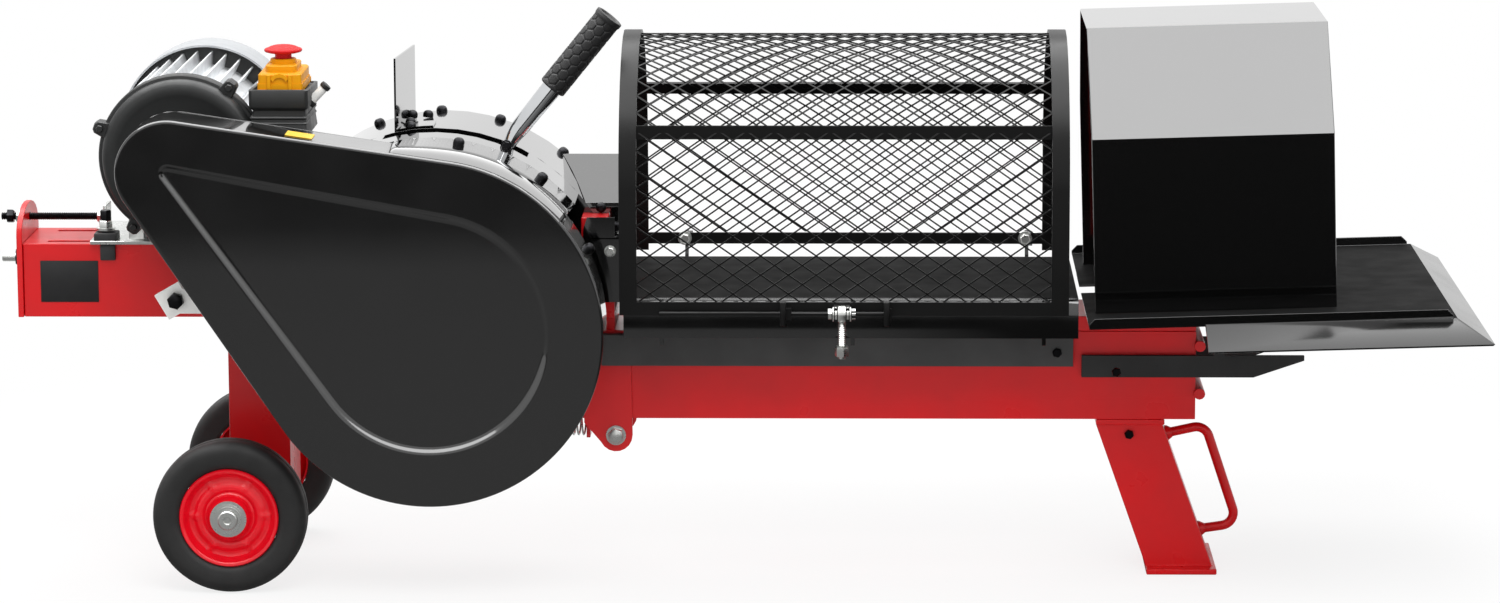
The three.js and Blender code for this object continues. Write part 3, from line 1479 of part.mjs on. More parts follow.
// Cage: welded arches and bars, with the latch clevis and hinge knuckles.
function cageFrame() {
  const innerR = BAR_R - BAR_THICK;
  const archProfile = [
    [-BAR_R, CAGE_BOTTOM],
    ...arc(0, CAGE_AXIS_Z, BAR_R, 180, 0, MESH_ROWS * 8),
    [BAR_R, CAGE_REAR_BOTTOM],
    [innerR, CAGE_REAR_BOTTOM],
    ...arc(0, CAGE_AXIS_Z, innerR, 0, 180, MESH_ROWS * 8),
    [-innerR, CAGE_BOTTOM],
  ];
  const arches = [
    sweepX(archProfile, CAGE_LEFT, CAGE_LEFT + ARCH_WIDTH),
    sweepX(archProfile, CAGE_RIGHT - ARCH_WIDTH, CAGE_RIGHT),
  ];
  const x0 = CAGE_LEFT + 1;
  const x1 = CAGE_RIGHT - 1;
  const half = THREE.MathUtils.radToDeg(BAR_WIDTH / 2 / BAR_R);
  const arcBar = (angle) =>
    sweepX(
      [
        ...arc(0, CAGE_AXIS_Z, BAR_R - 1, angle - half, angle + half, 1),
        ...arc(0, CAGE_AXIS_Z, innerR, angle + half, angle - half, 1),
      ],
      x0,
      x1,
    );
  const rearLow = HINGE_Z - 4;
  const frontBarTop = FRONT_BAR_Z + BAR_WIDTH / 2;
  const frontBarY = -Math.sqrt((BAR_R - 1) ** 2 - (frontBarTop - CAGE_AXIS_Z) ** 2);
  const bars = [
    block(x0, x1, -BAR_R, -innerR, CAGE_BOTTOM, CAGE_BOTTOM + BAR_WIDTH),
    block(x0, x1, frontBarY, frontBarY + BAR_THICK, frontBarTop - BAR_WIDTH, frontBarTop),
    arcBar(REAR_BAR_ANGLE),
    block(x0, x1, innerR, BAR_R, rearLow, rearLow + BAR_WIDTH - 2),
  ];
  const hingeY = CAGE_R + HINGE_OUT;
  const knuckles = HINGE_X.map((x) => {
    const left = x + PLATE + GAP;
    const profile = [
      [BAR_R - 1, HINGE_Z - 3],
      [hingeY - 2, HINGE_Z - HINGE_OUT],
      ...arc(hingeY, HINGE_Z, HINGE_OUT, -60, 90, 5),
      [BAR_R - 1, HINGE_Z + 7],
    ];
    const hole = barX(HINGE_D / 2 + GAP, hingeY, HINGE_Z, left - 9, left + 19);
    return cut(sweepX(profile, left, left + PLATE), hole);
  });
  const rodY = -BAR_R - 6;
  const rodZ = CAGE_BOTTOM + 3;
  const rod = barX(2.5, rodY, rodZ, ROD_LEFT, ROD_RIGHT, 10);
  const clips = [ROD_RIGHT - 3, ROD_RIGHT - 106].map((x) =>
    block(x - 4, x + 4, rodY - 4, -BAR_R + 1, rodZ - 6, rodZ + 6),
  );
  addNode("cage_frame", join(...arches, ...bars, ...knuckles, rod, ...clips, latchClevis()), BLACK);

  for (const [i, x] of HINGE_X.entries()) {
    const ends = [x - GAP - 3, x + PLATE * 2 + GAP * 2 + 3];
    const pin = join(
      barX(HINGE_D / 2, hingeY, HINGE_Z, ...ends, 16),
      barX(HINGE_D / 2 + 2.5, hingeY, HINGE_Z, ends[0] - 4, x - GAP, 6),
      barX(HINGE_D / 2 + 2.5, hingeY, HINGE_Z, x + PLATE * 2 + GAP * 2, ends[1] + 3, 6),
    );
    addNode(i ? "hinge_pin_right" : "hinge_pin_left", pin, ZINC);
  }
}
cageFrame();

// Cage mesh: expanded metal, drawn coarse, one node for each nearly flat stretch.
function cageMesh() {
  const place = (angle, r) => {
    const turn = THREE.MathUtils.degToRad(angle);
    return [r * Math.cos(turn), CAGE_AXIS_Z + r * Math.sin(turn)];
  };
  const outer = CAGE_R;
  const inner = CAGE_R - MESH_THICK;
  const flat = (side, low) => (t) => [
    [side * outer, low + (CAGE_AXIS_Z - GAP / 2 - low) * t],
    [side * inner, low + (CAGE_AXIS_Z - GAP / 2 - low) * t],
  ];
  const trim = THREE.MathUtils.radToDeg(GAP / 2 / inner);
  const bend = (from, to) => (t) => {
    const angle = from - trim + (to + trim - (from - trim)) * t;
    return [place(angle, outer), place(angle, inner)];
  };
  const panels = {
    front: flat(-1, LATCH_Z + 7 + GAP),
    arc_1: bend(180, 135),
    arc_2: bend(135, 90),
    arc_3: bend(90, 45),
    arc_4: bend(45, 0),
    rear: flat(1, MESH_REAR_BOTTOM),
  };
  const half = MESH_STRAND / 2;
  const left = CAGE_LEFT + half;
  const pitch = (CAGE_RIGHT - CAGE_LEFT - MESH_STRAND) / MESH_COLUMNS / 2;
  const bands = MESH_ROWS * 2;
  for (const [name, at] of Object.entries(panels)) {
    const strands = [];
    for (let j = 0; j < bands; j++) {
      for (let i = 0; i <= MESH_COLUMNS * 2; i++) {
        if ((i + j) % 2) continue;
        for (const step of [-1, 1]) {
          if (i + step < 0 || i + step > MESH_COLUMNS * 2) continue;
          const x0 = left + i * pitch;
          strands.push(strand(x0, x0 + step * pitch, at(j / bands), at((j + 1) / bands), half));
        }
      }
    }
    addNode(`cage_mesh_${name}`, join(...strands), BLACK);
  }
}

// One strand between two levels of the mesh, each level given by its outer and inner points.
function strand(x0, x1, low, high, half) {
  const corner = (x, [y, z]) => [x, y, z];
  const points = [
    corner(x0 - half, low[0]),
    corner(x0 + half, low[0]),
    corner(x0 + half, low[1]),
    corner(x0 - half, low[1]),
    corner(x1 - half, high[0]),
    corner(x1 + half, high[0]),
    corner(x1 + half, high[1]),
    corner(x1 - half, high[1]),
  ];
  const faces = [0, 3, 2, 0, 2, 1, 4, 5, 6, 4, 6, 7, 0, 1, 5, 0, 5, 4];
  faces.push(1, 2, 6, 1, 6, 5, 2, 3, 7, 2, 7, 6, 3, 0, 4, 3, 4, 7);
  const geometry = new THREE.BufferGeometry();
  geometry.setAttribute("position", new THREE.Float32BufferAttribute(points.flat(), 3));
  geometry.setIndex(faces);
  const made = solid(geometry);
  if (made.volume() > 0) return made;
  geometry.setIndex(faces.reverse());
  return solid(geometry);
}
cageMesh();

// Latch clevis, welded under the cage's front bar, with the cross pin of the eye bolt.
function latchClevis() {
  const back = -BAR_R + 1;
  const low = LATCH_Z - 7;
  const high = LATCH_Z + 7;
  const inside = LATCH_D / 2 + GAP;
  const ear = (x) => block(x, x + PLATE, -LATCH_REACH - 6, back, low, high);
  return join(
    ear(LATCH_X - inside - PLATE),
    ear(LATCH_X + inside),
    block(LATCH_X - inside - PLATE, LATCH_X + inside + PLATE, back - 5, back, low, high),
    barX(LATCH_PIN_R, -LATCH_REACH, LATCH_Z, LATCH_X - 14, LATCH_X + 14, 10),
    barX(LATCH_PIN_R * 2, -LATCH_REACH, LATCH_Z, LATCH_X + inside + PLATE - 1, LATCH_X + 14, 6),
  );
}

// Latch: the eye bolt that hangs in the clevis, with its nut and collar.
function latch() {
  const eye = cut(
    barX(LATCH_D, -LATCH_REACH, LATCH_Z, LATCH_X - LATCH_D / 2, LATCH_X + LATCH_D / 2, 16),
    barX(LATCH_PIN_R + GAP, -LATCH_REACH, LATCH_Z, LATCH_X - LATCH_D, LATCH_X + LATCH_D, 10),
  );
  const nutTop = LATCH_Z - 31;
  const swing = join(
    eye,
    barZ(LATCH_D / 2 - 0.5, LATCH_X, -LATCH_REACH, nutTop - 16, LATCH_Z - 6, 12),
    barZ(8.5, LATCH_X, -LATCH_REACH, nutTop - 8, nutTop, 6),
    barZ(7, LATCH_X, -LATCH_REACH, nutTop - 14, nutTop - 7, 12),
  );
  addNode("swing_bolt", swing, ZINC);
}
latch();

// Switch: a box seated on the motor, a yellow flap over the start button, a mushroom stop.
function switchGroup() {
  const frameTop = SWITCH_BOTTOM + SWITCH_HEIGHT;
  const lower = block(
    SWITCH_LEFT,
    SWITCH_LEFT + SWITCH_WIDTH,
    SWITCH_NEAR,
    SWITCH_NEAR + SWITCH_DEPTH,
    SWITCH_BOTTOM,
    frameTop - 12,
  );
  const frame = block(
    SWITCH_LEFT + 6,
    SWITCH_LEFT + SWITCH_WIDTH - 6,
    SWITCH_NEAR + 2,
    SWITCH_NEAR + SWITCH_DEPTH - 2,
    frameTop - 13,
    frameTop,
  );
  const saddle = block(
    SWITCH_LEFT - 6,
    SWITCH_LEFT + 30,
    SWITCH_NEAR + 40,
    SWITCH_NEAR + SWITCH_DEPTH - 4,
    SWITCH_BOTTOM - 18,
    SWITCH_BOTTOM + 12,
  );
  const motorRoom = barY(MOTOR_R + GAP, MOTOR_X, MOTOR_Z, -200, 200, 48);
  const buttonX = SWITCH_LEFT + SWITCH_WIDTH / 2;
  const buttonY = SWITCH_NEAR + 30;
  const pocket = barZ(8 + GAP, buttonX, buttonY, frameTop - 10, frameTop + 1, 16);
  addNode("switch_box", cut(join(lower, frame, saddle), motorRoom, pocket), SATIN);
  addNode("start_button", barZ(8, buttonX, buttonY, frameTop - 10 + 3, frameTop + 6, 16), GREY);

  const flapHalf = FLAP_WIDTH / 2;
  const flapFar = SWITCH_NEAR + SWITCH_DEPTH - 10;
  const low = frameTop + GAP;
  const outer = block(
    buttonX - flapHalf,
    buttonX + flapHalf,
    SWITCH_NEAR + 5,
    flapFar,
    low,
    low + FLAP_HEIGHT,
  );
  const crown = block(
    buttonX - flapHalf + 9,
    buttonX + flapHalf - 9,
    SWITCH_NEAR + 14,
    flapFar - 14,
    low + FLAP_HEIGHT - 1,
    low + FLAP_HEIGHT + CROWN_HEIGHT,
  );
  const inside = block(
    buttonX - flapHalf + PLATE,
    buttonX + flapHalf - PLATE,
    SWITCH_NEAR + 5 + PLATE,
    flapFar - PLATE,
    low - 1,
    low + FLAP_HEIGHT - PLATE,
  );
  const stopY = (SWITCH_NEAR + 5 + flapFar) / 2;
  const crownTop = low + FLAP_HEIGHT + CROWN_HEIGHT;
  const well = barZ(STEM_R + GAP, buttonX, stopY, crownTop - 9, crownTop + 1, 20);
  addNode("switch_flap", cut(join(outer, crown), inside, well), YELLOW);

  const mushroom = join(
    barZ(STEM_R, buttonX, stopY, crownTop - 9 + STOP_TRAVEL + GAP, crownTop + STOP_TRAVEL + 1, 20),
    barZ(MUSHROOM_D / 2 - 2, buttonX, stopY, crownTop + STOP_TRAVEL + GAP, crownTop + 9, 20),
    barZ(MUSHROOM_D / 2, buttonX, stopY, crownTop + 8, crownTop + 13, 20),
    barZ(MUSHROOM_D / 2, buttonX, stopY, crownTop + 13, crownTop + 19, 20, MUSHROOM_D / 2 - 6),
  );
  addNode("stop_button", mushroom, BUTTON_RED);
}
switchGroup();

export default splitter;
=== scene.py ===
# %% [markdown]
# # A log splitter, dressed in Blender
#
# The solids of this machine come from CAD, at their real size. This lesson gives them paint,
# plating, rubber and plastic, adds the small pieces that CAD leaves out, such as bolts and the
# fine mesh of the cage, and sets up a plain studio. Everything is in metres, +X points to the
# outfeed tray and the belt guard is on the -Y side. Sizes in the cells are in millimetres,
# because that is how such a machine is drawn, and MM turns them into metres.

from math import acos, atan2, ceil, cos, degrees, hypot, pi, radians, sin, sqrt, tan

import bmesh
import bpy
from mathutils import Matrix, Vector


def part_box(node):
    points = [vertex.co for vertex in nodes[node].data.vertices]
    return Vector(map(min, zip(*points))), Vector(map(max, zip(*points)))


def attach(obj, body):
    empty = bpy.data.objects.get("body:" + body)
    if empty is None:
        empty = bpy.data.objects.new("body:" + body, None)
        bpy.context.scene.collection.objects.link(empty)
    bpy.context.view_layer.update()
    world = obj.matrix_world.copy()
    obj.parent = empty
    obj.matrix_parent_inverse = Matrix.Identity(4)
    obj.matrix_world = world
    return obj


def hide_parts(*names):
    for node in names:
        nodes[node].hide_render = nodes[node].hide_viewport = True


MM = 0.001
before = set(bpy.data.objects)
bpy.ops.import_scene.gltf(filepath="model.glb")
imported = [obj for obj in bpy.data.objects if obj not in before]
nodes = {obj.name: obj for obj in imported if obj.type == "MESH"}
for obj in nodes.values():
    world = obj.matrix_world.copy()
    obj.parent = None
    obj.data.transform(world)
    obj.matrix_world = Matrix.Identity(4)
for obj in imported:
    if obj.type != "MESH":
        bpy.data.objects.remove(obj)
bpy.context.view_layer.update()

# %% [markdown]
# ## Colours and shader nodes
#
# Colours are easiest to compare with a photograph as sRGB hex values, but shaders work in
# linear light, so one function turns each value over. A second small function adds a shader
# node with its settings and links.
#
# Every finish on this machine is the same kind of thing: a base that is never one even colour,
# a gloss that varies a little from handling and dust, and a fine relief from how it was made.
# So one recipe makes them all, and each finish below is a choice of its real sizes. The
# alternative, a separate tree for each paint, would repeat the same seven nodes for every finish.

# %% Colour, nodes and the recipe of a finish
def srgb(hex_value):
    """A hex colour such as "B9252B" as linear RGBA."""
    parts = [int(hex_value[i : i + 2], 16) / 255 for i in (0, 2, 4)]
    linear = [c / 12.92 if c <= 0.04045 else ((c + 0.055) / 1.055) ** 2.4 for c in parts]
    return (*linear, 1.0)


def add(tree, kind, inputs=None, **settings):
    """Adds a shader node. An input is a plain value or the output socket of another node."""
    made = tree.nodes.new("ShaderNode" + kind)
    for name, value in settings.items():
        setattr(made, name, value)
    for name, value in (inputs or {}).items():
        if isinstance(value, bpy.types.NodeSocket):
            tree.links.new(value, made.inputs[name])
        else:
            made.inputs[name].default_value = value
    return made


def ramp(tree, value, low, high, bottom=0.0, top=1.0):
    """Turns the range from low to high of a value into the range from bottom to top."""
    inputs = {"Value": value, "From Min": low, "From Max": high, "To Min": bottom, "To Max": top}
    return add(tree, "MapRange", inputs).outputs[0]


def paint(name, **plain):
    """A new material, its node tree and its shader, with the plain values set."""
    material = bpy.data.materials.new(name)
    material.use_nodes = True
    shader = material.node_tree.nodes["Principled BSDF"]
    for key, value in plain.items():
        shader.inputs[key.replace("_", " ")].default_value = value
    return material, material.node_tree, shader


def surface(name, light, dark, rough, blotch_mm, grain_mm, depth_mm, **plain):
    """Two colours and a range of gloss in blotches, under a fine grain of a real depth."""
    material, tree, shader = paint(name, **plain)
    place = add(tree, "TexCoord").outputs["Object"]

    def noise(size_mm, detail):
        inputs = {"Vector": place, "Scale": 1 / (size_mm * MM), "Detail": detail}
        return add(tree, "TexNoise", inputs).outputs["Fac"]

    blotch = noise(blotch_mm, 4.0)
    share = ramp(tree, blotch, 0.3, 0.7)
    colour = add(tree, "Mix", {0: share, 6: srgb(light), 7: srgb(dark)}, data_type="RGBA")
    gloss = ramp(tree, blotch, 0.3, 0.7, *rough)
    relief = {"Height": noise(grain_mm, 2.0), "Distance": depth_mm * MM}
    relief = add(tree, "Bump", relief).outputs["Normal"]
    driven = {"Base Color": colour.outputs[2], "Roughness": gloss, "Normal": relief}
    for key, value in driven.items():
        tree.links.new(value, shader.inputs[key])
    return material


# %% [markdown]
# ## Enamel
#
# The frame is bent and welded sheet under a stoved enamel, red on the beam and black on the
# guards. Enamel is a clear, smooth film over its pigment: a crisp reflection, broken only by
# the long, shallow ripple known as orange peel, a few millimetres from crest to crest. The
# ripple is too shallow for geometry, so the bump draws it. The gloss black has a clear coat
# over the base, which is what turns faces seen at a low angle almost white. The sheets that
# wood slides on, the rails and the tray's supports are a satin black instead: its film
# scatters, so it stays a dark grey from any angle. The guard's coat is a little duller than
# the covers', and the cage's and the apron's enamel has no clear coat at all.

# %% Enamels
COAT = {"Coat_Weight": 1.0, "Coat_Roughness": 0.03, "Coat_IOR": 1.6}
DEEP = {"Coat_Weight": 1.0, "Coat_Roughness": 0.03, "Coat_IOR": 2.2}
red_enamel = surface("red_enamel", "D01016", "C40C12", (0.26, 0.38), 60, 3.5, 0.012, IOR=1.42)
gloss_black = surface("gloss_black_enamel", "080808", "050505", (0.08, 0.14), 60, 4, 0.004, **COAT)
cover_black = surface("cover_black_enamel", "0B0B0B", "080808", (0.05, 0.1), 50, 4, 0.003, **COAT)
saddle_black = surface("saddle_black_enamel", "0B0B0B", "080808", (0.05, 0.1), 50, 4, 0.003, **DEEP)
guard_black = surface("guard_black_enamel", "0C0C0C", "090909", (0.16, 0.24), 70, 3, 0.004, **COAT)
satin_black = surface("satin_black_paint", "343434", "2E2E2E", (0.5, 0.6), 40, 1.5, 0.01, IOR=1.2)
rail_black = surface("rail_black_paint", "484848", "404040", (0.5, 0.6), 40, 1.5, 0.01, IOR=1.2)
deck_black = surface("deck_black_paint", "1C1C1C", "161616", (0.5, 0.6), 30, 1.5, 0.01, IOR=1.06)
apron_black = surface("apron_black_paint", "0A0A0A", "060606", (0.1, 0.16), 60, 4, 0.004, IOR=1.35)
cage_black = surface("cage_black_enamel", "0E0E0E", "0A0A0A", (0.28, 0.4), 40, 3, 0.004, IOR=1.3)
print("enamels ready")

# %% [markdown]
# ## Bare and plated metals
#
# Zinc plating is a thin bright layer with faint blotches, chrome a nearly perfect mirror, and
# machined steel carries the fine marks of the tool. Cast aluminium is greyer, with the pebbled
# skin of its mould. All are full metals, so only colour, roughness and relief vary.

# %% Metals
METAL = {"Metallic": 1.0}
zinc = surface("zinc_plate", "E2E3E0", "CBCDCA", (0.24, 0.36), 9, 1.2, 0.006, **METAL)
chrome = surface("chrome_plate", "D6D8DA", "C8CACC", (0.05, 0.1), 40, 2, 0.001, **METAL)
steel = surface("machined_steel", "A9AAAC", "8F9193", (0.25, 0.42), 14, 0.8, 0.01, **METAL)
aluminium = surface("cast_aluminium", "E2E3E4", "CFD1D3", (0.36, 0.5), 18, 1.1, 0.03, **METAL)
black_oxide = surface("black_oxide_steel", "2A2A2C", "1B1B1C", (0.3, 0.45), 6, 0.9, 0.01, **METAL)
print("metals ready")

# %% [markdown]
# ## Rubber, plastics and labels
#
# The tyres are solid black rubber: matt, slightly grey where the mould's talc stays. The
# switch, its flap and its mushroom are moulded ABS with a soft gloss. The end shield and the
# switch's box have the fine spark-eroded grain of a mould. The wheel discs are pressed sheet
# under a bright red enamel. The two labels are film, and stay blank.

# %% Rubber, plastics and labels
tyre_rubber = surface("tyre_rubber", "1E1E1E", "181818", (0.55, 0.7), 22, 1.4, 0.03, IOR=1.45)
grip_rubber = surface("grip_rubber", "161617", "101011", (0.45, 0.6), 12, 1.0, 0.03, IOR=1.5)
belt_rubber = surface("belt_rubber", "2A2A2B", "202021", (0.6, 0.75), 12, 1.0, 0.03, IOR=1.5)
yellow_abs = surface("yellow_abs", "E49C02", "DC9402", (0.42, 0.52), 22, 1.0, 0.008, IOR=1.25)
red_abs = surface("red_abs", "CC161A", "C41216", (0.42, 0.52), 22, 1.0, 0.006, IOR=1.25)
green_abs = surface("green_abs", "2E9E4B", "24903F", (0.3, 0.4), 22, 1.0, 0.006, IOR=1.54)
rim_red = surface("wheel_disc_enamel", "E00A20", "CE0418", (0.14, 0.24), 30, 4.0, 0.01, IOR=1.5)
moulded_black = surface("moulded_black", "202121", "181919", (0.42, 0.56), 16, 1.0, 0.02, IOR=1.45)
pale_paint = surface("pale_zinc_paint", "EDEDEA", "E2E2DF", (0.35, 0.5), 12, 1.0, 0.006, IOR=1.5)
cowl_grey = surface("cowl_grey_paint", "B4B7BA", "A6A9AC", (0.3, 0.4), 30, 1.4, 0.01, IOR=1.5)
dark_film = surface("dark_label_film", "1D1D1E", "171718", (0.4, 0.5), 14, 1.0, 0.002, IOR=1.45)
yellow_film = surface("yellow_label_film", "F2C53A", "E8B92C", (0.4, 0.5), 14, 1.0, 0.002, IOR=1.45)
print("rubber, plastics and labels ready")

# %% [markdown]
# ## Building in mesh code
#
# Each piece is built in a bmesh from rings of points. A ring is a closed loop, and two rings
# with the same number of points are joined by a band of faces: a turned piece is a row of
# round rings, a bolt's head a row of hexagons, a pressed cover a row of outlines. Edges
# sharper than a set angle stay sharp and the rest shade smoothly.

# %% Mesh helpers
def mm(x, y, z):
    """A point or a step given in millimetres, in metres."""
    return Vector((x, y, z)) * MM


def polar(angle):
    """The unit vector at an angle in the XZ plane; a quarter turn on, it is square to it."""
    return Vector((cos(angle), 0, sin(angle)))


QUARTER = pi / 2


def piece(name, bm, material, body="frame", stands_for=(), sharp=32):
    """Turns a bmesh into an object that rides on a body and stands for CAD nodes."""
    mesh = bpy.data.meshes.new(name)
    bmesh.ops.recalc_face_normals(bm, faces=bm.faces)
    bm.to_mesh(mesh)
    bm.free()
    mesh.materials.append(material)
    mesh.shade_smooth()
    mesh.set_sharp_from_angle(angle=radians(sharp))
    made = bpy.data.objects.new(name, mesh)
    bpy.context.scene.collection.objects.link(made)
    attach(made, body)
    if stands_for:
        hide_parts(*stands_for)
    return made


def band(bm, first, second):
    """Joins two rings of vertices; a ring of one vertex is a point."""
    count = max(len(first), len(second))
    for i in range(count):
        j = (i + 1) % count
        corners = [first[i % len(first)], first[j % len(first)]]
        corners += [second[j % len(second)], second[i % len(second)]]
        bm.faces.new(list(dict.fromkeys(corners)))


def loft(bm, rings, caps=True, loop=False):
    """Joins rings of points, in metres, and closes both ends or the loop of rings."""
    made = [[bm.verts.new(point) for point in ring] for ring in rings]
    for first, second in zip(made, made[1:]):
        band(bm, first, second)
    if loop:
        band(bm, made[-1], made[0])
    elif caps:
        for ring in (made[0], made[-1]):
            if len(ring) > 2:
                bm.faces.new(ring)
    return made


def around(sides):
    """The angles of a number of even steps round a circle."""
    return [2 * pi * i / sides for i in range(sides)]


def mirrored(half):
    """A whole profile from the half on the far side of nought."""
    return [(r, -y) for r, y in reversed(half)] + half


def collar(bore, outer, start, end):
    """The profile of a plain ring: two radii, and two places on the axis."""
    return [(bore, start), (outer, start), (outer, end), (bore, end)]


def ring_at(centre, along, radius, sides):
    """Points on a circle, or the corners of a hexagon, square to a direction."""
    along = Vector(along).normalized()
    side = along.orthogonal().normalized()
    up = along.cross(side)
    if radius == 0:
        return [centre]
    return [centre + (side * cos(a) + up * sin(a)) * radius for a in around(sides)]


def turned(bm, profile, origin, along=(0, 1, 0), sides=72, loop=False, caps=True):
    """Turns a profile of (radius, distance along the axis), in millimetres."""
    along = Vector(along).normalized()
    rings = [ring_at(origin + along * (y * MM), along, r * MM, sides) for r, y in profile]
    loft(bm, rings, caps, loop)


def block(bm, low, high, edge_mm=0.6):
    """A block between two corners with rounded edges."""
    made = bmesh.ops.create_cube(bm, size=1.0)["verts"]
    bmesh.ops.scale(bm, vec=high - low, verts=made)
    bmesh.ops.translate(bm, vec=(high + low) / 2, verts=made)
    edges = list({edge for vert in made for edge in vert.link_edges})
    bmesh.ops.bevel(bm, geom=edges, offset=edge_mm * MM, segments=2, affect="EDGES", profile=0.5)


WASHER_THICK = 1.2


def hex_bolt(bm, place, along, across=13, height=6, washer=0):
    """A hexagon head with its corners turned off, on a washer if a width is given."""
    start = WASHER_THICK if washer else 0
    if washer:
        half = washer / 2
        turned(bm, collar(0, half, -1, start), place, along, 32)
    top = start + height
    steps = [(1, start - 1), (1, top - 1.4), (0.93, top - 0.5), (0.82, top), (0, top)]
    turned(bm, [(across / sqrt(3) * k, z) for k, z in steps], place, along, 6)


def dome_bolt(bm, place, along, width=12, height=6):
    """A domed button head, with the hollow of its key closed by a flat face."""
    r = width / 2
    dome = [(0, -2), (r, -2), (r, height * 0.2), (r * 0.92, height * 0.55)]
    dome += [(r * 0.7, height * 0.85), (r * 0.42, height)]
    turned(bm, dome, place, along, 24, caps=False)
    hollow = [(r * 0.42, height), (r * 0.36, height * 0.45), (0, height * 0.45)]
    turned(bm, hollow, place, along, 24)


print("mesh helpers ready")

# %% [markdown]
# ## Sheet and tube
#
# Most of the machine is sheet steel, laser cut and folded on a press brake, or welded tube.
# The CAD nodes have the right flat faces, but dead sharp edges, and enamel never keeps those:
# it draws back from them and leaves a radius of about a millimetre that catches the light. So
# each node is copied, its triangles are joined to whole faces, and a bevel rounds its edges.
# Rounding the CAD itself would have cost thousands of triangles there. Each row below is a
# finish, the radius of its edges in millimetres and the nodes that have both.

# %% Rounded copies of the sheet metal
def softened(name, material, edge_mm=0.8, body="frame", angle=38):
    """A copy of a CAD node with whole faces and rounded edges, which stands for it."""
    bm = bmesh.new()
    bm.from_mesh(nodes[name].data)
    bmesh.ops.remove_doubles(bm, verts=bm.verts, dist=2e-5)
    flat = radians(0.4)
    bmesh.ops.dissolve_limit(bm, angle_limit=flat, verts=bm.verts, edges=bm.edges)
    made = piece(name + "_sheet", bm, material, body, [name], sharp=angle)
    rounding = made.modifiers.new("rounded_edges", "BEVEL")
    rounding.width = edge_mm * MM
    rounding.segments = 2
    rounding.limit_method = "ANGLE"
    rounding.angle_limit = radians(angle)
    rounding.harden_normals = True
    return made


SHEETS = [
    (red_enamel, 2.5, "main_beam"),
    (red_enamel, 1.2, "foot_leg"),
    (red_enamel, 1.4, "rack_housing"),
    (red_enamel, 0.8, "housing_end_plate"),
    (red_enamel, 1.4, "wheel_leg"),
    (red_enamel, 0.8, "splitting_wedge roller_bracket"),
    (gloss_black, 0.4, "belt_guard_back"),
    (cover_black, 0.6, "gear_cover lever_cover"),
    (saddle_black, 0.6, "saddle_cover"),
    (cover_black, 0.5, "standing_plate"),
    (gloss_black, 0.7, "hood"),
    (gloss_black, 2.2, "log_table"),
    (gloss_black, 0.7, "outfeed_tray"),
    (rail_black, 0.8, "side_rail_near side_rail_far"),
    (satin_black, 0.8, "tray_support_near tray_support_far"),
    (zinc, 0.8, "motor_base"),
    (pale_paint, 0.8, "guard_bracket"),
    (steel, 0.8, "bearing_near bearing_far"),
]
sheets = {}
for material, edge_mm, names in SHEETS:
    sheets.update({name: softened(name, material, edge_mm) for name in names.split()})
softened("pusher_plate", red_enamel, 1.0, "ram")
softened("rack", steel, 0.5, "ram")
softened("cage_frame", cage_black, 0.6, "cage")
print("rounded", len(sheets) + 3, "nodes")

# %% [markdown]
# The wood lies and slides on the table and the tray, so their upper faces are worn to satin,
# while the folded edges keep their gloss. The tray's sloping apron lies between the two. Each
# face of a mesh can have its own material, so the way that a face looks decides its paint.

# %% Deck and apron faces
LEVEL = 0.99
SLOPING = 0.6
for name in ("log_table", "outfeed_tray"):
    mesh = sheets[name].data
    mesh.materials.append(deck_black)
    mesh.materials.append(apron_black)
    for face in mesh.polygons:
        if face.normal.z > SLOPING:
            face.material_index = 1 if face.normal.z > LEVEL else 2
print("deck and apron faces painted")

# %% [markdown]
# ## The belt guard
#
# The guard is a shell drawn from one sheet: a teardrop round the flywheel and the small
# pulley, 67 mm deep, with a rounded front edge and a teardrop panel pressed 4 mm inwards. The
# wall of that panel is a soft slope about 8 mm wide, which is what draws the pale band along
# the top and the bright line along the lower side. It is built from teardrop outlines, each a
# little smaller or deeper than the one before, with the same number of points in each.
# Cutting the panel with a boolean would leave long thin triangles that shade badly.

# %% Belt guard
GUARD_BIG_R = 180.5
GUARD_SMALL_R = 54.5
GUARD_EDGE = 2.5
PANEL_BIG_R = 126
PANEL_SMALL_R = 9
PANEL_WALL = 8
PANEL_DEPTH = 4
SUPPORT = 1.5  # rings this close to an edge keep the flat face beside it shaded flat
guard_low, guard_high = map(Vector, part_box("belt_guard"))
big_centre = Vector((guard_high.x - GUARD_BIG_R * MM, 0, guard_low.z + GUARD_BIG_R * MM))
small_centre = Vector((guard_low.x + GUARD_SMALL_R * MM, 0, guard_high.z - GUARD_SMALL_R * MM))
apart = small_centre - big_centre
between = atan2(apart.z, apart.x)


def touch_angle(big_r, small_r):
    """From the line between the centres to where a line touches both circles."""
    return acos((big_r - small_r) * MM / apart.length)


def teardrop(big_r, small_r, y, big_steps=96, small_steps=40):
    """Points of a teardrop outline round the flywheel and the pulley, at one depth."""
    touch = touch_angle(big_r, small_r)
    spans = [
        (big_centre, big_r, between + touch, between + 2 * pi - touch, big_steps),
        (small_centre, small_r, between - touch, between + touch, small_steps),
    ]
    return [
        centre + polar(start + (end - start) * i / steps) * r * MM + Vector((0, y, 0))
        for centre, r, start, end, steps in spans
        for i in range(steps + 1)
    ]


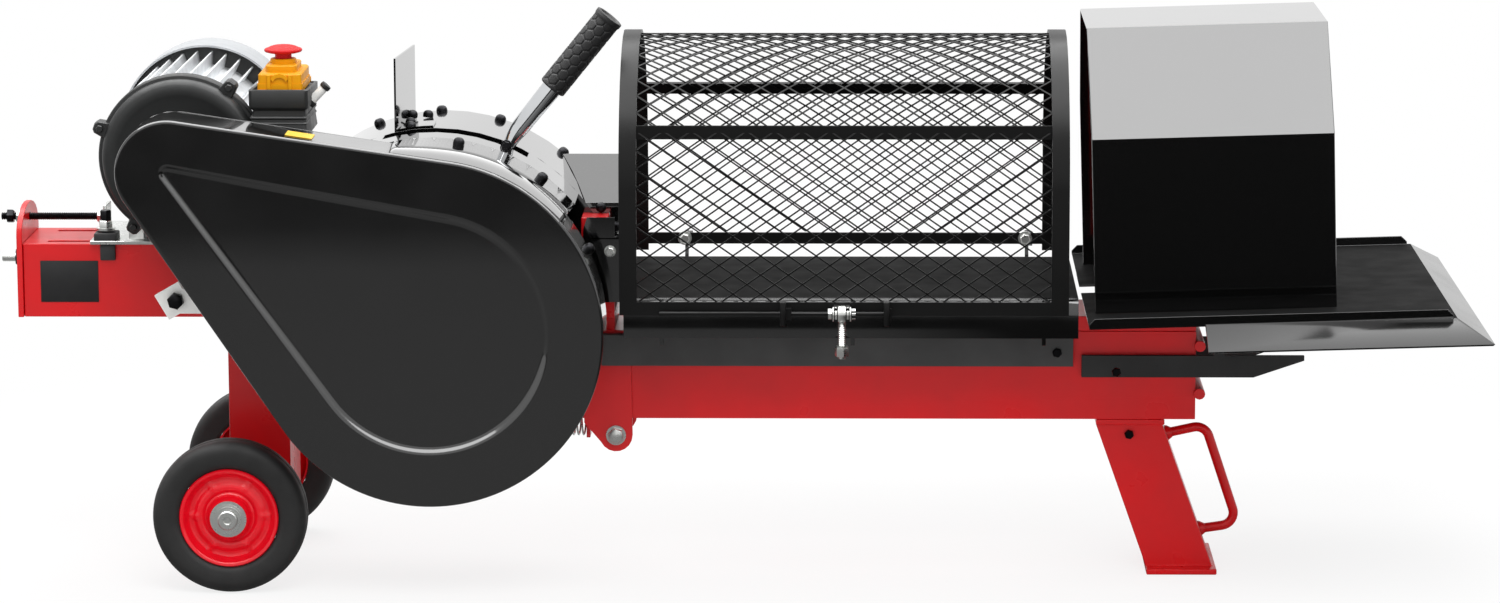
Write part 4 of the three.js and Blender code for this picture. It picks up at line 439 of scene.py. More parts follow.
front = guard_low.y
depths = [guard_high.y, guard_high.y - MM, front + (GUARD_EDGE + 1) * MM, front + GUARD_EDGE * MM]
rings = [teardrop(GUARD_BIG_R, GUARD_SMALL_R, depth) for depth in depths]
for i in range(1, 7):
    a = QUARTER * i / 6
    inset = GUARD_EDGE * (1 - cos(a))
    lift = GUARD_EDGE * (1 - sin(a)) * MM
    rings.append(teardrop(GUARD_BIG_R - inset, GUARD_SMALL_R - inset, front + lift))
flat_edge = GUARD_EDGE + SUPPORT
rings.append(teardrop(GUARD_BIG_R - flat_edge, GUARD_SMALL_R - flat_edge, front))
rings.append(teardrop(PANEL_BIG_R + SUPPORT, PANEL_SMALL_R + SUPPORT, front))
for i in range(11):
    share = i / 10
    depth = PANEL_DEPTH * (1 - cos(pi * share)) / 2
    small = max(PANEL_SMALL_R - PANEL_WALL * share * 0.62, 0.3)
    rings.append(teardrop(PANEL_BIG_R - PANEL_WALL * share, small, front + depth * MM))
rings.append(teardrop(PANEL_BIG_R - PANEL_WALL - SUPPORT, 0.15, front + PANEL_DEPTH * MM))
bm = bmesh.new()
bm.faces.new(loft(bm, rings, caps=False)[-1])
guard = piece("belt_guard_shell", bm, guard_black, "frame", ["belt_guard"], sharp=50)
guard.modifiers.new("sheet", "SOLIDIFY").thickness = 2 * MM
print("guard rings:", len(rings), "points in each:", len(rings[0]))

# %% [markdown]
# ## The skirt between the covers
#
# The lever's arched cover stands 13 mm higher than the guard. A narrow folded sheet slopes
# from its edge down to the front of the guard's rim and closes the step. It is a strip of
# flat faces from an arc round the shaft to the guard's outline, thickened by a modifier.

# %% Skirt
COVER_R = 194
SKIRT_FROM = 40
SKIRT_TO = 101
SKIRT_FACES = 48
SKIRT_BACK = -125.2
top_tangent = degrees(between - touch_angle(GUARD_BIG_R, GUARD_SMALL_R))
skirt_outer = []
skirt_inner = []
for i in range(SKIRT_FACES + 1):
    heading = SKIRT_FROM + (SKIRT_TO - SKIRT_FROM) * i / SKIRT_FACES
    out = polar(radians(heading))
    reach = GUARD_BIG_R / cos(radians(max(0, heading - top_tangent)))
    skirt_outer.append(big_centre + out * (COVER_R - 0.2) * MM + mm(0, SKIRT_BACK, 0))
    skirt_inner.append(big_centre + out * (reach + 0.4) * MM + Vector((0, front + 5 * MM, 0)))
bm = bmesh.new()
for corners in zip(skirt_outer, skirt_outer[1:], skirt_inner[1:], skirt_inner):
    bm.faces.new([bm.verts.new(point) for point in corners])
bmesh.ops.remove_doubles(bm, verts=bm.verts, dist=1e-6)
skirt = piece("cover_skirt", bm, cover_black)
skirt.modifiers.new("sheet", "SOLIDIFY").thickness = 1.2 * MM
print("skirt faces:", SKIRT_FACES)

# %% [markdown]
# ## The cage's expanded metal
#
# Expanded metal is one sheet, slit in staggered rows and pulled apart, so its strands meet in
# short bridges and make diamonds about 28 mm long and 20 mm high. It is wrapped round the
# frame, inside its arches: up the front, round the top, down the back. The CAD holds a coarse
# stand-in of it. Here every strand is a small bar between two bridges, laid along the same
# path: the height along the sheet turns into a place on the path. A texture with holes would
# look the same from the front, but would throw no true shadow and vanish from the side.

# %% Expanded metal
DIAMOND_LENGTH = 28.5
DIAMOND_HEIGHT = 20
STRAND_WIDTH = 1.5
STRAND_THICK = 1.1
front_high = Vector(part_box("cage_mesh_front")[1])
rear_low = Vector(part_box("cage_mesh_rear")[0])
frame_low, frame_high = map(Vector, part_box("cage_frame"))
ARCH_THICK = 4
cage_r = -front_high.y - (ARCH_THICK + 0.3 + STRAND_THICK / 2) * MM
axis_z = front_high.z
front_run = axis_z - (frame_low.z + 5 * MM)
arch_run = pi * cage_r
whole_run = front_run + arch_run + axis_z - rear_low.z


def on_sheet(x, along, out):
    """The place of a point of the flat sheet, wrapped round the cage, raised by out."""
    r = cage_r + out
    if along < front_run:
        return Vector((x, -r, axis_z - front_run + along))
    if along < front_run + arch_run:
        a = pi * (along - front_run) / arch_run
        return Vector((x, -r * cos(a), axis_z + r * sin(a)))
    return Vector((x, r, axis_z - (along - front_run - arch_run)))


mesh_left = frame_low.x + 3 * MM
mesh_right = frame_high.x - 3 * MM
columns = round((mesh_right - mesh_left) / (DIAMOND_LENGTH / 2 * MM))
rows = round(whole_run / (DIAMOND_HEIGHT / 2 * MM))
step_x = (mesh_right - mesh_left) / columns
step_s = whole_run / rows
lean = atan2(step_s, step_x)
half_x = STRAND_WIDTH / 2 * MM * sin(lean)
half_s = STRAND_WIDTH / 2 * MM * cos(lean)
top = STRAND_THICK / 2 * MM
bm = bmesh.new()
for row in range(rows):
    for column in range(columns):
        rising = (row + column) % 2 == 0
        x0 = mesh_left + column * step_x
        s0 = (row if rising else row + 1) * step_s
        s1 = (row + 1 if rising else row) * step_s
        side = 1 if rising else -1
        ends = []
        for x, s in ((x0, s0), (x0 + step_x, s1)):
            dx = half_x * side
            corners = [(-dx, half_s, top), (dx, -half_s, top)]
            corners += [(dx, -half_s, -top), (-dx, half_s, -top)]
            ends.append([on_sheet(x + dx, s + ds, out) for dx, ds, out in corners])
        loft(bm, ends)
stands = ["cage_mesh_" + part for part in "front arc_1 arc_2 arc_3 arc_4 rear".split()]
piece("expanded_metal", bm, cage_black, "cage", stands)
print("strands:", rows * columns)

# %% [markdown]
# ## Wheels
#
# Each wheel is a solid rubber tyre on a pressed steel disc. The tyre has a flat tread with
# rounded shoulders and a fine parting line from its mould. The disc's flange is rolled over at
# the rim, steps in to a flat ring where its two halves are joined by six small dimples, and
# rises to the hub, where a washer and the axle's end show. All of it is turned, and the
# dimples are pressed into the ring of faces that carries them.

# %% Wheels
TYRE_SIDES = 120
TYRE_R = 80
TYRE_HALF = 20
SHOULDER_R = 11
DISC_R = 52
DIMPLES = 6
DIMPLE_HALF = 4.5
DIMPLE_HEIGHT = 1.6


def wheel(label, face):
    """A tyre, its disc and its hub washer, on the side that looks to -Y or +Y."""
    low, high = map(Vector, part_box("tyre_" + label))
    centre = (low + high) / 2
    along = (0, face, 0)
    body = "wheel_" + label
    shoulder = []
    for i in range(7):
        a = QUARTER * i / 6
        out = TYRE_R - SHOULDER_R + SHOULDER_R * sin(a)
        shoulder.append((out, TYRE_HALF - SHOULDER_R * (1 - cos(a))))
    tyre = [(DISC_R, -TYRE_HALF + 4), (DISC_R + 3, -TYRE_HALF + 0.5), (TYRE_R - 14, -TYRE_HALF)]
    tyre += [(r, -y) for r, y in shoulder]
    tyre += [(TYRE_R, -0.6), (TYRE_R + 0.4, 0), (TYRE_R, 0.6)] + shoulder[::-1]
    tyre += [(TYRE_R - 14, TYRE_HALF), (DISC_R + 6, TYRE_HALF - 0.3), (DISC_R + 3, TYRE_HALF - 1.5)]
    tyre += [(DISC_R, TYRE_HALF - 4)]
    bm = bmesh.new()
    turned(bm, tyre, centre, along, TYRE_SIDES, loop=True)
    piece("tyre_rubber_" + label, bm, tyre_rubber, body, ["tyre_" + label])

    outside = [(51.6, 14), (51.8, 17), (50.6, 18.6), (48.4, 18.2), (46.4, 15.4), (44.6, 11)]
    outside += [(42.4, 8.2), (39.6, 7.4), (36.4, 8.4), (34.4, 10.2), (31.6, 11.2), (28.2, 10.4)]
    outside += [(25.8, 8.6), (23.4, 9.6), (21.4, 14), (20.6, 18.6), (19.2, 20.6), (10.3, 20.8)]
    inside = [(10.3, -20), (17, -20), (17, 2), (24, 5), (38, 4), (43, 6), (49, 14), (49.5, -14)]
    inside += [(51.6, -14)]
    bm = bmesh.new()
    turned(bm, outside + inside, centre, along, 144, loop=True)
    for vert in bm.verts:
        offset = vert.co - centre
        out = offset.y * face / MM
        r = hypot(offset.x, offset.z) / MM
        if out > 6 and 33 < r < 42:
            angle = atan2(offset.z, offset.x) * DIMPLES / (2 * pi)
            near = abs(angle - round(angle)) / DIMPLES * 2 * pi * r
            vert.co.y += face * MM * DIMPLE_HEIGHT * max(0, 1 - (near / DIMPLE_HALF) ** 2)
    piece("disc_" + label, bm, rim_red, body, ["rim_" + label], sharp=50)

    bm = bmesh.new()
    washer = [(10.4, 20.9), (18.6, 20.9), (19, 21.6), (19, 22.6), (10.4, 22.8)]
    for profile in (washer, collar(12, 15.5, 22.8, 24)):
        turned(bm, profile, centre, along, loop=True)
    piece("hub_washer_" + label, bm, zinc, body)


wheel("near", -1)
wheel("far", 1)

axle_low, axle_high = map(Vector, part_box("axle"))
axle_middle = (axle_low + axle_high) / 2
reach = (axle_high.y - axle_low.y) / 2 / MM
bm = bmesh.new()
end = [(10, reach - 8), (10, reach - 1), (9, reach), (4.2, reach)]
end += [(3.4, reach - 1.6), (0, reach - 1.6)]
turned(bm, mirrored(end), axle_middle, (0, 1, 0), 64)
for side in (-1, 1):
    for profile in (collar(10.2, 13.5, reach - 7, reach - 5), collar(10.1, 14, 109.6, 115.6)):
        turned(bm, profile, axle_middle, (0, side, 0), 48, loop=True)
piece("axle_rod", bm, zinc, "frame", ["axle"])
print("wheels ready")

# %% [markdown]
# ## Motor
#
# An induction motor: a die-cast body with tall cooling fins between a dark end shield and a
# pale pressed fan cowl. The shield is a shallow dish with a raised rib near its rim and four
# lugs for the long studs that hold the motor together. The fins are thin plates that taper to
# the tip, and stop short of both ends, which leaves the dark gap behind the shield.

# %% Motor
MOTOR_R = 86.5
CORE_R = 71
COWL_R = 92
FINS = 34
FIN = mirrored([(MOTOR_R - 1, -0.4), (MOTOR_R - 1.6, -1.0), (CORE_R - 2, -1.7)])
LUG = [(-9, -6), (-6.5, 7), (-3.5, 9.5), (3.5, 9.5), (6.5, 7), (9, -6)]
SPOKE = [(-1.3, -2), (1.3, -2), (1.3, 0), (-1.3, 0)]
shield_low = Vector(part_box("motor_end_shield")[0])
body_low, body_high = map(Vector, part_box("motor_housing"))
cowl_low, cowl_high = map(Vector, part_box("motor_cowl"))
motor_middle = (cowl_low + cowl_high) / 2
motor_middle.y = 0


def on_axis(y, more_mm=0):
    """A place on the motor's axis."""
    return motor_middle + Vector((0, y + more_mm * MM, 0))


core = collar(40, CORE_R, body_low.y / MM, body_high.y / MM)
bm = bmesh.new()
turned(bm, core, motor_middle, sides=96, loop=True)
for a in around(FINS):
    out, side = polar(a), polar(a + QUARTER)
    ends = (on_axis(body_low.y, 1), on_axis(body_high.y, -1))
    loft(bm, [[end + (out * r + side * half) * MM for r, half in FIN] for end in ends])
piece("motor_body_fins", bm, aluminium, "frame", ["motor_housing"])

shield = [(10, 0.5), (24, 0), (30, 0), (34, 4), (40, 5), (62, 5), (66, 4), (71, 3.4)]
shield += [(77, 4.4), (80.4, 7), (82, 11), (82.6, 15), (85.4, 15.6), (86.5, 17), (86.5, 31.8)]
shield += [(80, 32), (79, 20), (70, 9), (10, 9)]
bm = bmesh.new()
turned(bm, shield, on_axis(shield_low.y), sides=120, loop=True)
for a in map(radians, (55, 160, 235, 340)):
    out, side = polar(a), polar(a + QUARTER)
    rings = []
    for y, grow in ((13, 0.86), (15, 1), (31, 1)):
        middle = on_axis(shield_low.y, y) + out * (MOTOR_R + 0.5) * MM
        rings.append([middle + (side * s + out * o) * (grow * MM) for s, o in LUG])
    loft(bm, rings)
    stud = on_axis(shield_low.y, 13) + out * (MOTOR_R + 3) * MM
    hex_bolt(bm, stud, (0, -1, 0), across=7, height=4)
piece("end_shield", bm, moulded_black, "frame", ["motor_end_shield"])

cowl_length = (cowl_high.y - cowl_low.y) / MM
crown = [(COWL_R, 14), (COWL_R - 2, 8), (COWL_R - 6, 3), (70, 0), (24, 0), (24, 2), (69, 2)]
crown += [(COWL_R - 7.5, 5), (COWL_R - 3.6, 9), (COWL_R - 2, 14)]
cowl = [(COWL_R - 2, -9), (COWL_R, -9)] + [(r, cowl_length - y) for r, y in crown]
bm = bmesh.new()
turned(bm, cowl, on_axis(cowl_low.y), sides=120, loop=True)
for r in (8, 16):
    turned(bm, collar(r, r + 2.4, 0, -2), on_axis(cowl_high.y), loop=True)
for a in around(8):
    out, side = polar(a), polar(a + QUARTER)
    ends = (out * 7 * MM, out * 27 * MM)
    loft(bm, [[end + on_axis(cowl_high.y, y) + side * (s * MM) for s, y in SPOKE] for end in ends])
piece("fan_cowl", bm, cowl_grey, "frame", ["motor_cowl"], sharp=40)
bm = bmesh.new()
baffle = collar(CORE_R - 4, COWL_R - 2.3, -3, 1)
turned(bm, baffle, on_axis(cowl_low.y), sides=96, loop=True)
piece("cowl_baffle", bm, moulded_black)
print("motor ready, fins:", FINS)

# %% [markdown]
# ## Materials of the nodes that stay
#
# What is hidden inside the guard and the motor, and the hinges' pins, keep the CAD's mesh.

# %% Nodes that stay
STAY = {
    steel: "flywheel pinion_shaft motor_rotor motor_pulley",
    zinc: "hinge_pin_left hinge_pin_right",
    belt_rubber: "drive_belt",
}
for material, names in STAY.items():
    for name in names.split():
        nodes[name].data.materials.clear()
        nodes[name].data.materials.append(material)
print("nodes that stay:", sum(len(names.split()) for names in STAY.values()))

# %% [markdown]
# ## Lever and grip
#
# The control lever is a chromed steel tube, pressed narrower where it enters its slot, and
# bent down to the shaft. It is swept as a row of ovals along its path, because a curve with a
# round bevel can't flatten part of the way. The grip is a moulded rubber sleeve with a raised
# honeycomb of cells 11 mm wide, and a rolled ring at its end. The cells are geometry: each
# point of a fine sleeve sinks by how near it lies to the border of two cells.

# %% Swept tubes and the lever
def swept(bm, path, radii, sides=32):
    """Ovals along a path in the XZ plane: half widths across the plane and in it."""
    rings = []
    for i, point in enumerate(path):
        ahead = path[min(i + 1, len(path) - 1)] - path[max(i - 1, 0)]
        up = ahead.normalized().cross(Vector((0, 1, 0)))
        across, inside = mm(0, radii[i][0], 0), up * (radii[i][1] * MM)
        rings.append([point + across * cos(a) + inside * sin(a) for a in around(sides)])
    loft(bm, rings)


def rounded_path(points, bend, steps=8):
    """A path through corners that are rounded with a given radius, all in millimetres."""
    points = [Vector(p) * MM for p in points]
    path = [points[0]]
    for before, corner, after in zip(points, points[1:], points[2:]):
        back = (before - corner).normalized()
        onward = (after - corner).normalized()
        half = back.angle(onward) / 2
        middle = corner + (back + onward).normalized() * (bend * MM / sin(half))
        first = corner + back * (bend * MM / tan(half)) - middle
        last = corner + onward * (bend * MM / tan(half)) - middle
        turn = [first.normalized().slerp(last.normalized(), k / steps) for k in range(steps + 1)]
        path += [middle + way * (bend * MM) for way in turn]
    return path + [points[-1]]


SHAFT = Vector((-307, 0, 281))
LEVER_ENTRY = Vector((-233.5, -73, 458.8))
LEVER_LEAN = radians(39.1)
TUBE_END = 84
lever_way = Vector((sin(LEVER_LEAN), 0, cos(LEVER_LEAN)))
tube_top = LEVER_ENTRY + lever_way * TUBE_END
tube_foot = LEVER_ENTRY + Vector((-9, 0, -78))
path = rounded_path([tube_foot, LEVER_ENTRY + lever_way * 6, tube_top], 60, 14)
radii = []
for point in path:
    height = (point / MM - LEVER_ENTRY).dot(lever_way)
    squeeze = max(0.0, 1 - max(0.0, height - 4) / 34) ** 1.5
    radii.append((11 + 1.5 * squeeze, 11 - 4.5 * squeeze))
bm = bmesh.new()
swept(bm, path, radii)
piece("lever_tube", bm, chrome, "lever", ["control_lever"])
bm = bmesh.new()
shaft_centre = SHAFT * MM + mm(0, LEVER_ENTRY.y, 0)
turned(bm, collar(15.5, 26, -7, 7), shaft_centre, sides=64, loop=True)
arm_low = shaft_centre + (tube_foot * MM - shaft_centre).normalized() * 25 * MM
swept(bm, [arm_low, tube_foot * MM + mm(0, 0, 2)], [(6, 12), (6, 9)], 24)
piece("lever_arm", bm, steel, "lever")
bm = bmesh.new()
bolt_place = LEVER_ENTRY + lever_way * 3
hex_bolt(bm, (bolt_place + Vector((0, -12, 0))) * MM, (0, -1, 0), across=8, height=2.5, washer=11)
piece("lever_collar_bolt", bm, black_oxide, "lever")

GRIP_FROM = 78
GRIP_TO = 174
GRIP_R = 14.5
CELLS = 8
CELL = 2 * pi * GRIP_R / CELLS
GROOVE_WIDTH = 1.7
GROOVE_DEPTH = 1.1
GRIP_SIDES = 112
GRIP_STEPS = 108
ROLL = 6  # the plain ring at the grip's end, and how far it stands out
ROLL_RISE = 0.9


def cell_relief(u, v):
    """How deep the sleeve lies at a place on its surface: nought on a cell, one in a groove."""
    row_height = CELL * sqrt(3) / 2
    row = round(v / row_height)
    away = []
    for r in (row - 1, row, row + 1):
        shift = CELL / 2 if r % 2 else 0
        column = round((u - shift) / CELL)
        for c in (column - 1, column, column + 1):
            away.append(hypot(u - shift - c * CELL, v - r * row_height))
    away.sort()
    return max(0.0, 1 - (away[1] - away[0]) / GROOVE_WIDTH)


bm = bmesh.new()
length = GRIP_TO - GRIP_FROM
up = lever_way.cross(Vector((0, 1, 0)))
turns = around(GRIP_SIDES)
outs = [Vector((0, 1, 0)) * cos(a) + up * sin(a) for a in turns]
rings = []
for k in range(GRIP_STEPS + 1):
    v = length * k / GRIP_STEPS
    ring = []
    for a, out in zip(turns, outs):
        r = GRIP_R
        if 2.5 < v < length - ROLL:
            r -= GROOVE_DEPTH * cell_relief(a * GRIP_R, v)
        elif v >= length - ROLL:
            r += ROLL_RISE * min(1, (v - length + ROLL) / 2)
        if v < 1:
            r -= 1 - v
        ring.append((LEVER_ENTRY + lever_way * (GRIP_FROM + v) + out * r) * MM)
    rings.append(ring)
tip = LEVER_ENTRY + lever_way * GRIP_TO
for r, back in ((GRIP_R - 0.6, -0.6), (GRIP_R - 2.6, -0.4), (GRIP_R - 3.4, 1.2), (1, 1.2)):
    rings.append([(tip - lever_way * back + out * r) * MM for out in outs])
loft(bm, rings)
piece("honeycomb_grip", bm, grip_rubber, "lever", ["lever_grip"], sharp=60)
print("grip points:", len(rings) * GRIP_SIDES)

# %% [markdown]
# ## Foot handle, return spring and roller
#
# The handle is one round bar bent through two corners. The return spring pulls the rack back:
# a coil of 2.2 mm wire in 13 turns. A curve with a bevel would do for both, but rings in a
# mesh keep every piece the same kind of thing.

# %% Foot handle, spring and roller
HANDLE_CORNERS = [(460.8, 0, 140), (502, 0, 149), (537.8, 0, 42), (497, 0, 36)]
path = rounded_path(HANDLE_CORNERS, 14)
bm = bmesh.new()
swept(bm, path, [(5, 5)] * len(path), 24)
weld = [(5.2, 6), (6.4, 4), (8, 1.5), (8.6, -1), (5.2, -1)]
for place in (HANDLE_CORNERS[0], HANDLE_CORNERS[-1]):
    turned(bm, weld, mm(*place), (1, 0, 0.15), 24, loop=True)
piece("handle_bar", bm, red_enamel, "frame", ["foot_handle"])

spring_low, spring_high = map(Vector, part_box("return_spring"))
COIL_R = 10.4
COIL_WIRE = 1.1
COIL_TURNS = 13
COIL_STEPS = 22 * COIL_TURNS
spring_z = spring_low.z / MM + 11.5
start_x = spring_low.x / MM + 1.6
run = spring_high.x / MM - 1.6 - start_x
rings = []
for i in range(COIL_STEPS + 1):
    share = i / COIL_STEPS
    a = 2 * pi * COIL_TURNS * share
    out = Vector((0, cos(a), sin(a)))
    middle = Vector((start_x + run * share, 0, spring_z)) + out * COIL_R
    wire = [out * cos(b) + Vector((sin(b), 0, 0)) for b in around(10)]
    rings.append([(middle + way * COIL_WIRE) * MM for way in wire])
bm = bmesh.new()
loft(bm, rings)
piece("spring_coil", bm, zinc, "frame", ["return_spring"])

ROLLER = Vector((-121.5, 0, 147.5))
bm = bmesh.new()
roller = mirrored([(13.3, 39.6), (12.4, 44.64), (11, 46.8), (6.3, 46.8)])
turned(bm, roller, ROLLER * MM, sides=64, loop=True)
piece("roller_body", bm, steel, "roller", ["return_roller"])
bm = bmesh.new()
turned(bm, mirrored([(5.9, 54), (0, 54)]), ROLLER * MM, sides=32)
for face in (-1, 1):
    place = ROLLER * MM + mm(0, 54.5 * face, 0)
    hex_bolt(bm, place, (0, face, 0), across=15, height=6, washer=21)
piece("roller_hex_bolt", bm, zinc, "frame", ["roller_bolt"])
print("handle, spring and roller ready")

# %% [markdown]
# ## The switch
#
# A no-volt switch in a moulded box: a soft skirt that flares towards the guard, a stiff frame
# with a raised rim, and a yellow hinged flap that carries the red mushroom. The flap is
# stepped, with a round-topped window moulded in its front. The boxes are rows of rounded
# rectangles, the mushroom is turned.

# %% Switch
def slab_ring(x0, x1, y0, y1, z, r=4, steps=4):
    """A rectangle with rounded corners, in millimetres, at one height."""
    corners = [(x1 - r, y1 - r), (x0 + r, y1 - r), (x0 + r, y0 + r), (x1 - r, y0 + r)]
    ring = []
    for i, (x, y) in enumerate(corners):
        for k in range(steps + 1):
            a = QUARTER * (i + k / steps)
            ring.append(mm(x + r * cos(a), y + r * sin(a), z))
    return ring


def slabs(bm, *sizes, r=4):
    """Rounded rectangles (x0, x1, y0, y1, z), joined one to the next."""
    loft(bm, [slab_ring(*size, r) for size in sizes])


CASE = [
    (-498, -437.5, -103, -6, 471),
    (-499.5, -436, -104, -5, 472.5),
    (-497.5, -437.5, -102, -4, 482),
    (-494, -438.5, -100, -3, 493),
    (-493, -438.5, -100, -3, 499),
    (-496.5, -436, -102, -2, 501),
    (-497, -435.5, -102.5, -2, 503),
    (-497, -435.5, -102.5, -2, 520),
    (-496.2, -436.3, -101.7, -2.8, 521),
    (-494.4, -438.1, -99.9, -4.6, 521),
    (-493.6, -438.9, -99.1, -5.4, 520),
    (-493.6, -438.9, -99.1, -5.4, 515.6),
]
HINGE_SIDE = -22
HINGE_RIM = 516.9  # the rim lies lower beside the hinge, so that the flap can swing over it
bm = bmesh.new()
slabs(bm, *CASE)
for z in (484, 490):
    fold = (-496.6, -436.8, -102, -2, z + 1.4)
    slabs(bm, (-495.6, -437.6, -101.2, -2.4, z), fold, (-495.2, -437.6, -101.2, -2.4, z + 2.8))
for vert in bm.verts:
    if vert.co.z > 517 * MM and vert.co.y > HINGE_SIDE * MM:
        vert.co.z = HINGE_RIM * MM
piece("switch_case", bm, moulded_black, "frame", ["switch_box"], sharp=40)

FLAP_X = -465.5
bm = bmesh.new()
slabs(bm, *((-489, -442, -94, -14, z) for z in (517.6, 526)))
step = (-488, -443, -93, -15)
slabs(bm, (*step, 525), (*step, 535), (-486.5, -444.5, -91.5, -16.5, 536.5))
step = (-482, -449, -82, -26)
slabs(bm, (*step, 536), (*step, 542.5), (-481, -450, -81, -27, 543.5), r=9)
for x in (-478.5, -456.5):
    slabs(bm, *((x, x + 4, -96, -88, z) for z in (518, 535)), r=1)
for x0, x1 in ((-488.4, -479), (-452, -442.6)):
    slabs(bm, *((x0, x1, -95.4, -92.6, z) for z in (519, 520.2)), r=0.6)
half_arch = [(4.5, 535.8), (7.5, 533.8), (9, 531)]
arch = [(-x, z) for x, z in reversed(half_arch)] + [(0, 536.8)] + half_arch
window = arch + [(x * 0.72, 518 + (z - 518) * 0.8) for x, z in reversed(arch)]
loft(bm, [[mm(FLAP_X + x, y, z) for x, z in window] for y in (-95.4, -90.4)])
turned(bm, mirrored([(3, 24), (0, 24)]), mm(FLAP_X, -15, 520.8), (1, 0, 0), 20)
crown = [(9.4, 542), (13.5, 542), (13.5, 547.2), (12.7, 548), (9.4, 548)]
turned(bm, crown, mm(FLAP_X, -54, 0), (0, 0, 1), 48, loop=True)
piece("yellow_flap", bm, yellow_abs, "flap", ["switch_flap"], sharp=40)


def top_of(box):
    """The middle of a box's upper face."""
    low, high = map(Vector, box)
    return Vector(((low.x + high.x) / 2, (low.y + high.y) / 2, high.z))


mushroom = [(0, -14.3), (8.6, -14.3), (8.6, -9), (15, -8.6), (18.6, -7.6)]
for i in range(9):
    a = radians(-38 + 128 * i / 8)
    mushroom.append((17.4 + 2.4 * cos(a), -5.8 + 2 * sin(a)))
mushroom += [(13.5, -1.9), (9.5, -0.8), (5, -0.2), (0, 0)]
bm = bmesh.new()
turned(bm, mushroom, top_of(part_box("stop_button")), (0, 0, 1), 96)
piece("mushroom_button", bm, red_abs, "stop", ["stop_button"], sharp=50)

bm = bmesh.new()
button = [(0, -12), (7.8, -12), (7.8, -1.4), (6.8, -0.3), (0, 0)]
turned(bm, button, top_of(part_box("start_button")), (0, 0, 1), 48)
piece("start_cap", bm, green_abs, "start", ["start_button"])

stub = [(0, 0), (4.6, 0), (4.6, 21), (4, 22), (0, 22)]
cap = [(0, 20), (5.4, 20), (5.8, 22), (5.4, 24.6), (0, 25.4)]
foot = [(0, -3), (6, -3), (6.6, 0), (6, 2.6), (0, 2.6)]
stub_parts = (("conduit_stub", pale_paint, [stub]), ("conduit_ends", moulded_black, [cap, foot]))
for name, material, profiles in stub_parts:
    bm = bmesh.new()
    for profile in profiles:
        turned(bm, profile, mm(-437, -60, 503), (15.5, 0, 16), 28)
    piece(name, bm, material)
print("switch ready")

# %% [markdown]
# ## Bolts and nuts
#
# The covers are held by black button-head bolts, which show as small domes along their edges.
# The brackets have plain hexagon heads in zinc or black oxide. They are far too small for the
# CAD, but an eye looks for them first. One function makes each kind of head, and a list says
# where they sit and which way they look.

# %% Bolts and nuts
NEAR, LEFT, RIGHT, UP = (0, -1, 0), (-1, 0, 0), (1, 0, 0), (0, 0, 1)
COVER_BOLTS = [(194, 111.1, 60), (194, 91.2, 67), (194, 72.4, 62), (194, 50, 70), (194, 30.7, 30)]
COVER_BOLTS += [(191.5, 81, -134), (191.5, 53, -134), (181, 26, -134)]  # radius, angle, y
TAB_BOLTS = [
    ((-338, 17, 478), (0.1, -0.3, 1)),
    ((-336, -28, 476.5), (0.15, 0, 1)),
    ((-322, 24, 477), (0.08, 0, 1)),
    ((-334, -49, 475.5), (0.14, 0, 1)),
    ((-135, -62, 392), NEAR),
    ((-120, -62, 372), NEAR),
]
bm = bmesh.new()
for radius, heading, y in COVER_BOLTS:
    out = polar(radians(heading))
    dome_bolt(bm, (SHAFT + out * radius) * MM + mm(0, y, 0), out, 12, 6)
for place, way in TAB_BOLTS:
    dome_bolt(bm, mm(*place), way, 11, 5)
piece("cover_bolts", bm, black_oxide)

SCREW_Z = 372
STUD_Z = 328
SCREW_END = -750.3
# Each row: place, the way it looks, width across flats, height, and the washer's width.
HEX_BOLTS = {
    ("zinc_bolts", "frame", zinc): [
        ((511, -163, 287), NEAR, 10, 5, 17),
        ((-124, -98.8, 352), NEAR, 9, 6, 12),
        ((-657, -45, 366), UP, 13, 8, 20),
        ((SCREW_END, 0, SCREW_Z), LEFT, 13, 7, 20),
        ((-664, 0, SCREW_Z), LEFT, 13, 7, 18),
    ],
    ("black_bolts", "frame", black_oxide): [
        ((-573.6, -125.4, 304), NEAR, 15, 9, 0),
        ((-657, -45, 376), UP, 11, 10, 0),
        ((-767, 0, SCREW_Z), RIGHT, 13, 6, 0),
        ((342, -60.3, 238), NEAR, 9, 3, 0),
        ((403, -84.4, 222), NEAR, 9, 3, 0),
        ((419, -46, 148), NEAR, 9, 4, 0),
        ((SCREW_END, 0, STUD_Z), LEFT, 17, 8.6, 20),
    ],
    ("hinge_bolts", "cage", zinc): [((x, 139, 326), NEAR, 10, 6, 15) for x in (-55, 314)],
}
for (name, body, material), bolts in HEX_BOLTS.items():
    bm = bmesh.new()
    for place, way, across_flats, height, washer in bolts:
        hex_bolt(bm, mm(*place), way, across_flats, height, washer)
    piece(name, bm, material, body)
print("bolts:", len(COVER_BOLTS) + len(TAB_BOLTS) + sum(map(len, HEX_BOLTS.values())))

# %% [markdown]
# ## Tension screw, motor foot and small sheets
#
# The belt is tightened by a long threaded screw that pulls the motor's plate towards the end
# of the housing. Its thread is turned with a pitch of 2 mm, a little coarser than the real
# one, which would not show. By the motor's foot sit a rubber block and a clip. Between the
# guard and the cage a black sheet over the end of the housing is painted shade: it darkens
# the gap there, which lies in shadow. The rating plate and the label on the guard's edge are
# there, but blank.

# %% Screw, foot, sheets and labels
PITCH = 2


def threads(start, end, crest, root):
    """The zigzag profile of a thread from one place to another."""
    turns = [start + PITCH * i for i in range(ceil((end - start) / PITCH))]
    return [point for at in turns for point in ((crest, at), (root, at + PITCH / 2))]


